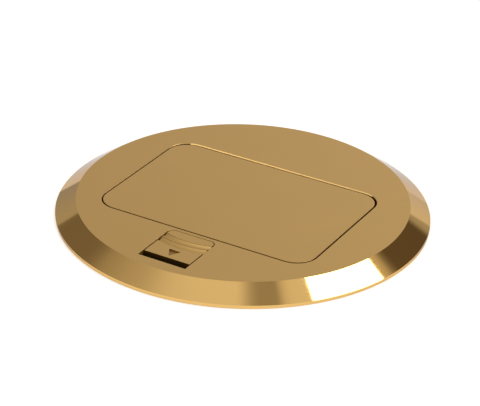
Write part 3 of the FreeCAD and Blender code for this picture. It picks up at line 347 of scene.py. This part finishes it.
def shadedWindow(tree, shape, outside):
    # the latch window's walls stay dull up to the top: painted shade that darkens its edge
    start, end = brass["windowEdge"]
    edge = addNode(tree, "ShaderNodeMapRange", {"From Min": start, "From Max": end}, {"Value": (shape, 2)})
    front = addNode(tree, "ShaderNodeMath", {"operation": "LESS_THAN", 1: brass["windowRear"]},
                    {0: (shape, 1)})
    below = addNode(tree, "ShaderNodeMath", {"operation": "MULTIPLY"}, {0: (edge, 0), 1: (front, 0)})
    inside = addNode(tree, "ShaderNodeMath", {"operation": "SUBTRACT", 0: 1.0}, {1: (outside, 0)})
    return addNode(tree, "ShaderNodeMath", {"operation": "MULTIPLY"}, {0: (below, 0), 1: (inside, 0)})


def shadedSlide(tree, shape, flat, facing):
    # painted shade lies along the finger dips and on the arrow's floor
    start, end = brass["latchWall"]
    wall = addNode(tree, "ShaderNodeMapRange", {"From Min": start, "From Max": end}, {"Value": (facing, 2)})
    # painted shade on the walls that do not face right, and on all of the slide left of its edge
    bright = addNode(tree, "ShaderNodeMath", {"operation": "LESS_THAN", 1: brass["clearFacing"]},
                     {0: (facing, 0)})
    leftOfEdge = addNode(tree, "ShaderNodeMath", {"operation": "LESS_THAN", 1: brass["slideEdge"]},
                   {0: (shape, 0)})
    shadedWall = addNode(tree, "ShaderNodeMath", {"operation": "MULTIPLY"}, {0: (wall, 0), 1: (bright, 0)})
    slideShade = addNode(tree, "ShaderNodeMath", {"operation": "MAXIMUM"}, {0: (shadedWall, 0), 1: (leftOfEdge, 0)})
    centre = (0, brass["ribCentre"], 0)
    moved = addNode(tree, "ShaderNodeVectorMath", {"operation": "SUBTRACT", 1: centre}, {0: (flat, 0)})
    reach = addNode(tree, "ShaderNodeVectorMath", {"operation": "LENGTH"}, {0: (moved, 0)})
    for dark, clear in brass["ribLines"]:
        slope = addNode(tree, "ShaderNodeMapRange", {"From Min": clear * mm, "From Max": dark * mm},
                        {"Value": (reach, "Value")})
        side = "GREATER_THAN" if dark < clear else "LESS_THAN"
        beyond = addNode(tree, "ShaderNodeMath", {"operation": side, 1: dark * mm}, {0: (reach, "Value")})
        line = addNode(tree, "ShaderNodeMath", {"operation": "MULTIPLY"}, {0: (slope, 0), 1: (beyond, 0)})
        slideShade = addNode(tree, "ShaderNodeMath", {"operation": "MAXIMUM"}, {0: (line, 0), 1: (slideShade, 0)})
    start, end = brass["arrowFloor"]
    low = addNode(tree, "ShaderNodeMapRange", {
        "From Min": start, "From Max": end, "To Max": brass["arrowShade"]}, {"Value": (shape, 2)})
    front = addNode(tree, "ShaderNodeMath", {"operation": "LESS_THAN", 1: brass["arrowFront"]},
                    {0: (shape, 1)})
    arrow = addNode(tree, "ShaderNodeMath", {"operation": "MULTIPLY"}, {0: (low, 0), 1: (front, 0)})
    return addNode(tree, "ShaderNodeMath", {"operation": "MAXIMUM"}, {0: (arrow, 0), 1: (slideShade, 0)})


def easedNormal(tree, shape, facing, normal):
    # the opening's rear wall gets a shading normal tilted as if its edge were eased further down than the
    # rest, so it catches the light
    behind = addNode(tree, "ShaderNodeMath", {"operation": "GREATER_THAN", 1: brass["rearWall"]},
                     {0: (shape, 1)})
    upper = addNode(tree, "ShaderNodeMath", {"operation": "GREATER_THAN", 1: brass["rearHeight"]},
                    {0: (shape, 2)})
    toLatch = addNode(tree, "ShaderNodeMath", {"operation": "LESS_THAN", 1: brass["rearFacing"]},
                      {0: (facing, 1)})
    first = addNode(tree, "ShaderNodeMath", {"operation": "MULTIPLY"}, {0: (behind, 0), 1: (upper, 0)})
    eased = addNode(tree, "ShaderNodeMath", {"operation": "MULTIPLY"}, {0: (first, 0), 1: (toLatch, 0)})
    return addNode(tree, "ShaderNodeMix", {"data_type": "VECTOR", 5: brass["rearNormal"]},
                   {0: (eased, 0), 4: (normal, 0)})


def brassMaterial(name, colour, roughness, mark, kind):
    # cartridge brass, satin on its faces: a warm mirror blurred by fine marks, with dull brown painted shade
    # on its sides and in its cuts, and tarnish on the fittings
    material, tree, output, place = newMaterial(name)
    base, roughness, mark = linearColour(brass[colour]), brass[roughness], brass[mark]
    shape = addNode(tree, "ShaderNodeSeparateXYZ", {}, {0: (place, "Object")})
    flat = addNode(tree, "ShaderNodeCombineXYZ", {}, {0: (shape, 0), 1: (shape, 1)})
    radius = addNode(tree, "ShaderNodeVectorMath", {"operation": "LENGTH"}, {0: (flat, 0)})
    facing = addNode(tree, "ShaderNodeSeparateXYZ", {}, {0: (place, "Normal")})
    if kind == "cover":
        # lathe marks follow the radius from the cover's centre
        across = addNode(tree, "ShaderNodeCombineXYZ", {}, {0: (radius, "Value"), 2: (shape, 2)})
        grain = addNode(tree, "ShaderNodeVectorMath", {"operation": "SCALE", "Scale": 1 / mark},
                        {0: (across, 0)})
    else:
        scale = (1 / (brass["brushStretch"] * mark), 1 / mark, 1 / mark)
        grain = addNode(tree, "ShaderNodeMapping", {"Scale": scale}, {0: (place, "Object")})
    marks = addNode(tree, "ShaderNodeTexNoise", {"Scale": 1.0, "Detail": 2.0}, {"Vector": (grain, 0)})
    cloud = addNode(tree, "ShaderNodeTexNoise", {"Scale": 1 / brass["cloudSize"], "Detail": 3.0},
                    {"Vector": (place, "Object")})
    deep = (*(channel * brass["cloudShade"] for channel in base[:3]), 1)
    paint = addNode(tree, "ShaderNodeMix", {"data_type": "RGBA", 6: deep, 7: base}, {0: (cloud, "Fac")})
    smoother, rougher = (roughness + change for change in brass["roughnessSpread"])
    rough = addNode(tree, "ShaderNodeMapRange", {"To Min": smoother, "To Max": rougher},
                    {"Value": (cloud, "Fac")})
    bump = addNode(tree, "ShaderNodeBump", {
        "Strength": brass["markStrength"], "Distance": brass["markDepth"]}, {"Height": (marks, "Fac")})
    normal, shadeAndTarnishColour, dullRoughness = (bump, 0), brass["sideShadeAndTarnishColour"], brass["wallRoughness"]
    if kind == "cover":
        bevel = brass["bevelRadius"]
        outside = addNode(tree, "ShaderNodeMapRange", {
            "From Min": bevel - brass["bevelBlur"], "From Max": bevel}, {"Value": (radius, "Value")})
        rough = addNode(tree, "ShaderNodeMix", {"data_type": "FLOAT", 3: brass["bevelRoughness"]},
                        {0: (outside, 0), 2: (rough, 0)})
        # painted shade on the latch window's walls and edge
        wall = shadedWindow(tree, shape, outside)
        normal = (easedNormal(tree, shape, facing, bump), 1)
        shadeAndTarnishColour, dullRoughness = brass["windowShadeColour"], brass["windowRoughness"]
    elif kind == "latch":
        # painted shade in the dips, on the arrow and along the slide's left side
        wall = shadedSlide(tree, shape, flat, facing)
        shadeAndTarnishColour = brass["slideShadeColour"]
    elif kind == "fitting":
        # handling leaves faint clouds of tarnish
        start, end = brass["tarnishFrom"]
        wall = addNode(tree, "ShaderNodeMapRange", {
            "From Min": start, "From Max": end, "To Max": brass["tarnish"]}, {"Value": (cloud, "Fac")})
    else:
        # painted shade: faces that lean away from upright take the dull brown colour
        start, end = brass["lidWall"]
        wall = addNode(tree, "ShaderNodeMapRange", {"From Min": start, "From Max": end},
                       {"Value": (facing, 2)})
    dull = addNode(tree, "ShaderNodeMix", {"data_type": "RGBA", 7: linearColour(shadeAndTarnishColour)},
                   {0: (wall, 0), 6: (paint, 2)})
    dullRough = addNode(tree, "ShaderNodeMix", {"data_type": "FLOAT", 3: dullRoughness},
                        {0: (wall, 0), 2: (rough, 0)})
    surface = addNode(tree, "ShaderNodeBsdfPrincipled", {
        "Metallic": 1.0, "Specular Tint": linearColour(brass["edgeTint"])},
        {"Base Color": (dull, 2), "Roughness": (dullRough, 0), "Normal": normal})
    tree.links.new(surface.outputs[0], output.inputs["Surface"])
    return material


# turned on a lathe: rings on the top, a polished bevel that mirrors the room, painted shade on the edges of
# the latch window
coverBrass = brassMaterial("turnedCoverBrass", "colour", "topRoughness", "latheMark", "cover")
# brushed along its length, so that its shine is drawn out sideways; its sides carry painted shade
lidBrass = brassMaterial("satinLidBrass", "colour", "topRoughness", "brushMark", "lid")
# brushed like the lid, with painted shade in its dips, on its arrow and along its left side
latchBrass = brassMaterial("satinLatchBrass", "colour", "topRoughness", "brushMark", "latch")
# stamped or turned and left bright, with faint clouds from handling
smallBrass = brassMaterial("brightFittingBrass", "fittingColour", "fittingRoughness", "brushMark", "fitting")

# steel
steel = {
    "zincColour": "B9BDBF",
    "springColour": "A9A9AA",
    "galvanisedColour": "A6ABAD",
    "greenColour": "2E6B3C",
    "oxideColour": "211F1D",
    "fineGrain": 1 * mm,
    "zincGrain": 2 * mm,
    "spangle": 9 * mm,
    "roughnessSpread": (-0.05, 0.08),
}


def steelMaterial(name, colour, roughness, cell, contrast):
    # coated or drawn steel: a cool blurred mirror in cells, each a little lighter and smoother than the next
    material, tree, output, place = newMaterial(name)
    cells = addNode(tree, "ShaderNodeTexVoronoi", {"Scale": 1 / cell}, {"Vector": (place, "Object")})
    spots = addNode(tree, "ShaderNodeSeparateColor", {}, {0: (cells, "Color")})
    base = linearColour(colour)
    dark = (*(channel * (1 - contrast) for channel in base[:3]), 1)
    paint = addNode(tree, "ShaderNodeMix", {"data_type": "RGBA", 6: dark, 7: base}, {0: (spots, 0)})
    smoother, rougher = (roughness + change for change in steel["roughnessSpread"])
    rough = addNode(tree, "ShaderNodeMapRange", {"To Min": smoother, "To Max": rougher},
                    {"Value": (spots, 1)})
    surface = addNode(tree, "ShaderNodeBsdfPrincipled", {"Metallic": 1.0},
                      {"Base Color": (paint, 2), "Roughness": (rough, 0)})
    tree.links.new(surface.outputs[0], output.inputs["Surface"])
    return material


# thin zinc plate: even, pale and slightly milky
zincSteel = steelMaterial("zincPlatedSteel", steel["zincColour"], 0.34, steel["zincGrain"], 0.08)
# drawn wire and turned pins: bright, with small streaks
springSteel = steelMaterial("drawnSpringSteel", steel["springColour"], 0.25, steel["fineGrain"], 0.10)
# sheet dipped in zinc: large grey crystals, each of its own shade
galvanisedSteel = steelMaterial("galvanisedSheet", steel["galvanisedColour"], 0.42, steel["spangle"], 0.22)
# dyed zinc plate: green, still a metal
greenSteel = steelMaterial("greenDyedSteel", steel["greenColour"], 0.38, steel["fineGrain"], 0.12)
# oiled black oxide: nearly black, with a dull shine
blackSteel = steelMaterial("blackOxideSteel", steel["oxideColour"], 0.55, steel["fineGrain"], 0.15)

# plastics
plastics = {
    "socketColour": "4A3226",
    "socketRoughness": 0.3,
    "socketBump": 0.02 * mm,
    "rubberColour": "1B1A19",
    "rubberRoughness": 0.7,
    "rubberBump": 0.05 * mm,
    "ior": 1.5,
    "grain": 0.6 * mm,
    "lighter": 1.15,
    "roughnessSpread": (-0.04, 0.06),
    "bumpStrength": 0.2,
}


def mouldedMaterial(name, colour, roughness, bumpHeight):
    # moulded under heat: one even colour with a soft shine and a faint pebble from the mould
    material, tree, output, place = newMaterial(name)
    speckle = addNode(tree, "ShaderNodeTexNoise", {"Scale": 1 / plastics["grain"], "Detail": 3.0},
                      {"Vector": (place, "Object")})
    base = linearColour(colour)
    light = (*(min(1, channel * plastics["lighter"]) for channel in base[:3]), 1)
    paint = addNode(tree, "ShaderNodeMix", {"data_type": "RGBA", 6: base, 7: light}, {0: (speckle, "Fac")})
    smoother, rougher = (roughness + change for change in plastics["roughnessSpread"])
    rough = addNode(tree, "ShaderNodeMapRange", {"To Min": smoother, "To Max": rougher},
                    {"Value": (speckle, "Fac")})
    bump = addNode(tree, "ShaderNodeBump", {"Strength": plastics["bumpStrength"], "Distance": bumpHeight},
                   {"Height": (speckle, "Fac")})
    surface = addNode(tree, "ShaderNodeBsdfPrincipled", {"IOR": plastics["ior"]},
                      {"Base Color": (paint, 2), "Roughness": (rough, 0), "Normal": (bump, 0)})
    tree.links.new(surface.outputs[0], output.inputs["Surface"])
    return material


# brown thermoset: hard and slightly glossy
socketPlastic = mouldedMaterial("mouldedThermoset", plastics["socketColour"], plastics["socketRoughness"],
                                plastics["socketBump"])
# black rubber: dull, and hardly any shine
sealRubber = mouldedMaterial("blackRubber", plastics["rubberColour"], plastics["rubberRoughness"],
                             plastics["rubberBump"])

giveMaterial(coverBrass, "cover_flange")
giveMaterial(lidBrass, "lid_plate")
giveMaterial(latchBrass, "latch_slide")
giveMaterial(smallBrass, "device_plate", "receptacle_contacts")
giveMaterial(blackSteel, "latch_guide", "latch_bolt")
giveMaterial(springSteel, "hinge_pin", "hinge_clips", "strike_rivets")
giveMaterial(zincSteel, "tilt_frame", "strike_plate", "receptacle_strap", "cover_brackets", "mounting_ring")
giveMaterial(galvanisedSteel, "back_box", "knockout_discs")
giveMaterial(sealRubber, "cover_gasket", "lid_seal")
giveMaterial(socketPlastic, "receptacle_face", "receptacle_body")
print("materials given")


def addPiece(name, shape, material, smoothUpTo=40):
    # a finished bmesh becomes an object with soft shading up to the given angle
    bmesh.ops.recalc_face_normals(shape, faces=shape.faces)
    mesh = bpy.data.meshes.new(name)
    shape.to_mesh(mesh)
    shape.free()
    mesh.shade_smooth()
    mesh.set_sharp_from_angle(angle=math.radians(smoothUpTo))
    mesh.materials.append(material)
    piece = bpy.data.objects.new(name, mesh)
    bpy.context.scene.collection.objects.link(piece)
    return piece


# springs
springs = {
    "hinge": (21.5 * mm, 2.6 * mm),
    "coilRadius": 1.95 * mm,
    "coilTurns": 5.5,
    "coilStart": 44 * mm,
    "coilEnd": 48.5 * mm,
    "trayLeg": (8.0 * mm, 3.5 * mm),
    "coverLeg": (16.5 * mm, 3.7 * mm),
    "coverLegEnd": 52 * mm,
    "wire": 0.3 * mm,
    "bend": 0.9 * mm,
    "sharpFrom": 25,  # degrees
    "latchPlace": (13.6 * mm, 3.85 * mm),
    "latchRadius": 0.92 * mm,
    "latchWire": 0.18 * mm,
    "latchTurns": 8,
    "latchSides": 8,
    "latchFront": -73.22 * mm,
    "latchRear": -64.18 * mm,
    "latchWall": -73.4 * mm,
    "latchTravel": 4.2 * mm,
}


def coil(centre, ends, axis, startTurn, turns, radius, steps=24):
    # a helix about X or Y, from one end to the other, its angle counted from the next axis
    line = []
    count = round(turns * steps)
    for step in range(count + 1):
        angle = math.radians(startTurn) + 2 * math.pi * step / steps
        along = ends[0] + (ends[1] - ends[0]) * step / count
        first, second = centre[0] + radius * math.cos(angle), centre[1] + radius * math.sin(angle)
        line.append(Vector((along, first, second) if axis == "X" else (first, along, second)))
    return line


def easeCorners(line, reach):
    # replaces each sharp corner of a bent wire by a small curve, which takes less than half of either side
    eased = [line[0]]
    for before, corner, after in zip(line, line[1:], line[2:]):
        ahead, behind = after - corner, before - corner
        if ahead.angle(-behind) < math.radians(springs["sharpFrom"]):
            eased.append(corner)
            continue
        start = corner + behind.normalized() * min(reach, behind.length * 0.45)
        end = corner + ahead.normalized() * min(reach, ahead.length * 0.45)
        for share in (0, 0.25, 0.5, 0.75, 1):
            eased.append(start.lerp(corner, share).lerp(corner.lerp(end, share), share))
    eased.append(line[-1])
    return eased


def drawnWire(line, radius, sides=12):
    # round wire along a line of points
    shape = bmesh.new()
    rings = []
    across = (line[1] - line[0]).orthogonal().normalized()
    for index, point in enumerate(line):
        ahead = (line[min(index + 1, len(line) - 1)] - line[max(index - 1, 0)]).normalized()
        across = (across - ahead * across.dot(ahead)).normalized()
        up = ahead.cross(across)
        ring = []
        for side in range(sides):
            angle = 2 * math.pi * side / sides
            ring.append(shape.verts.new(point + (across * math.cos(angle) + up * math.sin(angle)) * radius))
        if rings:
            last = rings[-1]
            for side in range(sides):
                following = (side + 1) % sides
                shape.faces.new((last[side], last[following], ring[following], ring[side]))
        rings.append(ring)
    shape.faces.new(rings[0])
    shape.faces.new(rings[-1])
    return shape


def buildTorsionSpring(side, sign):
    # one leg presses under the tray, the other stays on the cover's ledge
    legY, legZ = springs["trayLeg"]
    anchorY, anchorZ = springs["coverLeg"]
    inner, outer = sign * springs["coilStart"], sign * springs["coilEnd"]
    line = [Vector((inner, legY, legZ))]
    line += coil(springs["hinge"], (inner, outer), "X", -90, springs["coilTurns"], springs["coilRadius"])
    line += [Vector((outer, anchorY, anchorZ)), Vector((sign * springs["coverLegEnd"], anchorY, anchorZ))]
    shape = drawnWire(easeCorners(line, springs["bend"]), springs["wire"])
    piece = addPiece(f"torsionSpring{side.capitalize()}", shape, springSteel)
    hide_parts(f"torsion_spring_{side}")
    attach(piece, "tray")
    piece.parent = None
    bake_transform(piece)


def buildLatchSpring(side, sign):
    x, z = springs["latchPlace"]
    line = coil((sign * x, z), (springs["latchFront"], springs["latchRear"]), "Y", 0,
                springs["latchTurns"], springs["latchRadius"])
    wire = drawnWire(line, springs["latchWire"], springs["latchSides"])
    piece = addPiece(f"latchSpring{side.capitalize()}", wire, springSteel)
    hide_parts(f"latch_spring_{side}")
    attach(piece, "cover")
    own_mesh(piece)


for side, sign in (("left", -1), ("right", 1)):
    buildTorsionSpring(side, sign)
    buildLatchSpring(side, sign)
print("springs wound")

# screws
panel = {"y": -26 * mm, "z": -21.6 * mm, "lean": 23.7}
panelPlace = (Matrix.Translation((0, panel["y"], panel["z"]))
              @ Matrix.Rotation(math.radians(90 + panel["lean"]), 4, "X"))
headDown = Matrix.Rotation(math.pi, 4, "X")
screws = {
    "sides": 40,
    "turns": (12, 71, 128, 39),  # degrees, so that no two slots line up
    # outlines of the heads: shares of their radius and height
    "panHead": ((0, 0), (1, 0), (1, 0.42), (0.94, 0.68), (0.8, 0.88), (0.6, 0.97), (0, 1)),
    "washer": ((0, 0), (1, 0), (1, 0.12), (0.9, 0.24), (0, 0.24)),
    "hexHead": ((0, 0.1), (0.86, 0.1), (0.86, 0.9), (0.76, 1), (0, 1)),
    # arms, half width and reach (shares of the radius), depth (share of the height) and taper
    "recesses": {"cross": (4, 0.15, 0.6, 0.8, 0.55), "slot": (2, 0.15, 1.3, 0.7, 0.96)},
    # faces between these heights and this near the middle belong to the recess
    "recessLow": {"pan": 0.05, "hex": 0.27},
    "recessHigh": 0.85,
    "recessNear": 0.8,
    "threadSides": 24,
    "pitch": 0.7 * mm,
    "threadDepth": 0.18 * mm,
    "ridge": 0.45,  # half its foot, as a share of the pitch
    "tipLength": 0.25 * mm,
    "tipShare": 0.75,
    "groups": {
        "cover_screws": {"body": "cover", "head": 2.7, "height": 1.2, "shank": 1.7, "recess": "cross",
                         "places": (Matrix.Identity(4),)},
        "lid_screws": {"body": "tray", "head": 2.6, "height": 1.2, "shank": 1.5, "recess": "cross",
                       "places": (headDown,)},
        "latch_guide_screws": {"body": "cover", "head": 2.0, "height": 1.2, "shank": 1.0, "recess": "cross",
                               "places": (headDown,)},
        "latch_bolt_screws": {"body": "latch", "head": 2.1, "height": 0.8, "shank": 1.2, "recess": "cross",
                              "places": (headDown,)},
        "device_screws": {"body": "tray", "head": 3.2, "height": 1.2, "shank": 1.7, "recess": "slot",
                          "places": (panelPlace,)},
        "device_plate_screw": {"body": "tray", "head": 3.2, "height": 1.2, "shank": 1.7, "recess": "slot",
                               "places": (panelPlace,)},
        "receptacle_ground_screw": {"body": "tray", "head": 4.0, "height": 2.0, "shank": 1.7,
                                    "recess": "slot", "shape": "hex", "places": (panelPlace @ headDown,)},
        "terminal_screws": {"body": "tray", "head": 3.6, "height": 2.0, "shank": 1.8, "recess": "slot",
                            "places": (panelPlace @ Matrix.Rotation(math.pi / 2, 4, "X"),
                                       panelPlace @ Matrix.Rotation(-math.pi / 2, 4, "X"))},
        "ground_screw": {"body": "cover", "head": 4.6, "height": 3.2, "shank": 2.1, "recess": "slot",
                         "shape": "hex", "places": (Matrix.Identity(4),)},
    },
}


def turned(profile, sides):
    # a closed solid of revolution about Z from (radius, height) pairs; a radius of 0 is a pole
    shape = bmesh.new()
    corners = [2 * math.pi * side / sides for side in range(sides)]
    last = None
    for radius, height in profile:
        if radius == 0:
            ring = [shape.verts.new((0, 0, height))]
        else:
            ring = [shape.verts.new((radius * math.cos(corner), radius * math.sin(corner), height))
                    for corner in corners]
        if last:
            for side in range(sides):
                following = (side + 1) % sides
                face = [last[side % len(last)], last[following % len(last)],
                        ring[following % len(ring)], ring[side % len(ring)]]
                shape.faces.new(list(dict.fromkeys(face)))
        last = ring
    return shape


def asMesh(shape, name):
    mesh = bpy.data.meshes.new(name)
    shape.to_mesh(mesh)
    shape.free()
    return mesh


def recessCutter(kind, radius, height):
    # a tapered prism: one slot, or a cross with four arms
    arms, width, length, depth, taper = screws["recesses"][kind]
    half, reach = radius * width, radius * length
    outline = []
    for arm in range(arms):
        turn = Matrix.Rotation(2 * math.pi * arm / arms, 2)
        corners = ((reach, -half), (reach, half)) + (((half, half),) if arms == 4 else ())
        outline += [turn @ Vector(corner) for corner in corners]
    shape = bmesh.new()
    # it starts clear above the head
    top = [shape.verts.new((*corner, height * 1.2)) for corner in outline]
    bottom = [shape.verts.new((*(corner * taper), height * (1 - depth))) for corner in outline]
    shape.faces.new(top)
    shape.faces.new(reversed(bottom))
    for index in range(len(outline)):
        following = (index + 1) % len(outline)
        shape.faces.new((top[index], bottom[index], bottom[following], top[following]))
    return shape


def screwHead(group):
    radius, height = group["head"] * mm, group["height"] * mm
    form = group.get("shape", "pan")

    def outline(name):
        return [(radius * share, height * rise) for share, rise in screws[name]]

    body = turned(outline("hexHead"), 6) if form == "hex" else turned(outline("panHead"), screws["sides"])
    head = addPiece("screwBlank", body, smallBrass)
    cutter = addPiece("recessCutter", recessCutter(group["recess"], radius, height), smallBrass)
    cut = head.modifiers.new("recess", "BOOLEAN")
    cut.operation, cut.solver, cut.object = "DIFFERENCE", "EXACT", cutter
    graph = bpy.context.evaluated_depsgraph_get()
    shape = bmesh.new()
    shape.from_mesh(bpy.data.meshes.new_from_object(head.evaluated_get(graph)))
    low, high = height * screws["recessLow"][form], height * screws["recessHigh"]
    for face in shape.faces:
        # the recess's faces take the second material, black steel, so they render dark
        middle = face.calc_center_median()
        if low < middle.z < high and middle.xy.length < radius * screws["recessNear"]:
            face.material_index = 1
    if form == "hex":
        shape.from_mesh(asMesh(turned(outline("washer"), screws["sides"]), "washer"))
    bpy.data.objects.remove(head)
    bpy.data.objects.remove(cutter)
    return shape


def addThread(shape, radius, length):
    # a core with a pointed ridge wound round it
    core, tip = radius - screws["threadDepth"], screws["tipLength"]
    pitch, sides = screws["pitch"], screws["threadSides"]
    profile = ((0, -length), (core * screws["tipShare"], -length), (core, -length + tip), (core, 0), (0, 0))
    shape.from_mesh(asMesh(turned(profile, sides), "shank"))
    steps = int((length - pitch * 1.2) / pitch * sides)
    if steps < sides:
        return
    crest, root = [], []
    # the ridge's foot is sunk a little into the core
    foot, sunk = pitch * screws["ridge"], core * 0.98
    for step in range(steps + 1):
        angle, height = 2 * math.pi * step / sides, -pitch * 0.1 - pitch * step / sides
        crest.append(shape.verts.new((radius * math.cos(angle), radius * math.sin(angle), height)))
        root.append([shape.verts.new((sunk * math.cos(angle), sunk * math.sin(angle), height + shift))
                     for shift in (-foot, foot)])
    for step in range(steps):
        for side in (0, 1):
            shape.faces.new((crest[step], crest[step + 1], root[step + 1][side], root[step][side]))


def buildScrews(node, group, material):
    # every screw's place comes from the corners of its CAD node, seen along the screw
    radius, height = group["head"] * mm, group["height"] * mm
    together = bmesh.new()
    turns = iter(screws["turns"])
    for place in group["places"]:
        inverse = place.inverted()
        corners = [inverse @ vertex.co for vertex in nodes[node].data.vertices]
        if len(group["places"]) > 1:
            corners = [corner for corner in corners if corner.z > 0]
        low = [min(corner[axis] for corner in corners) for axis in range(3)]
        high = [max(corner[axis] for corner in corners) for axis in range(3)]
        # to a hundredth of a millimetre, so that one screw gives one row
        rows = [sorted({round(low[axis] + radius, 5), round(high[axis] - radius, 5)}) for axis in (0, 1)]
        for x in rows[0]:
            for y in rows[1]:
                shape = screwHead(group)
                addThread(shape, group["shank"] * mm, high[2] - height - low[2])
                lift = Matrix.Translation((x, y, high[2] - height))
                shape.transform(place @ lift @ Matrix.Rotation(math.radians(next(turns)), 4, "Z"))
                together.from_mesh(asMesh(shape, "screw"))
    words = node.split("_")
    piece = addPiece(words[0] + "".join(word.capitalize() for word in words[1:]), together, material, 32)
    piece.data.materials.append(blackSteel)
    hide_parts(node)
    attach(piece, group["body"])


for node, group in screws["groups"].items():
    if "ground" in node:
        buildScrews(node, group, greenSteel)
    elif node == "device_screws":
        buildScrews(node, group, springSteel)
    else:
        buildScrews(node, group, smallBrass)
print("screws driven")

bpy.context.scene.view_settings.view_transform = "Standard"
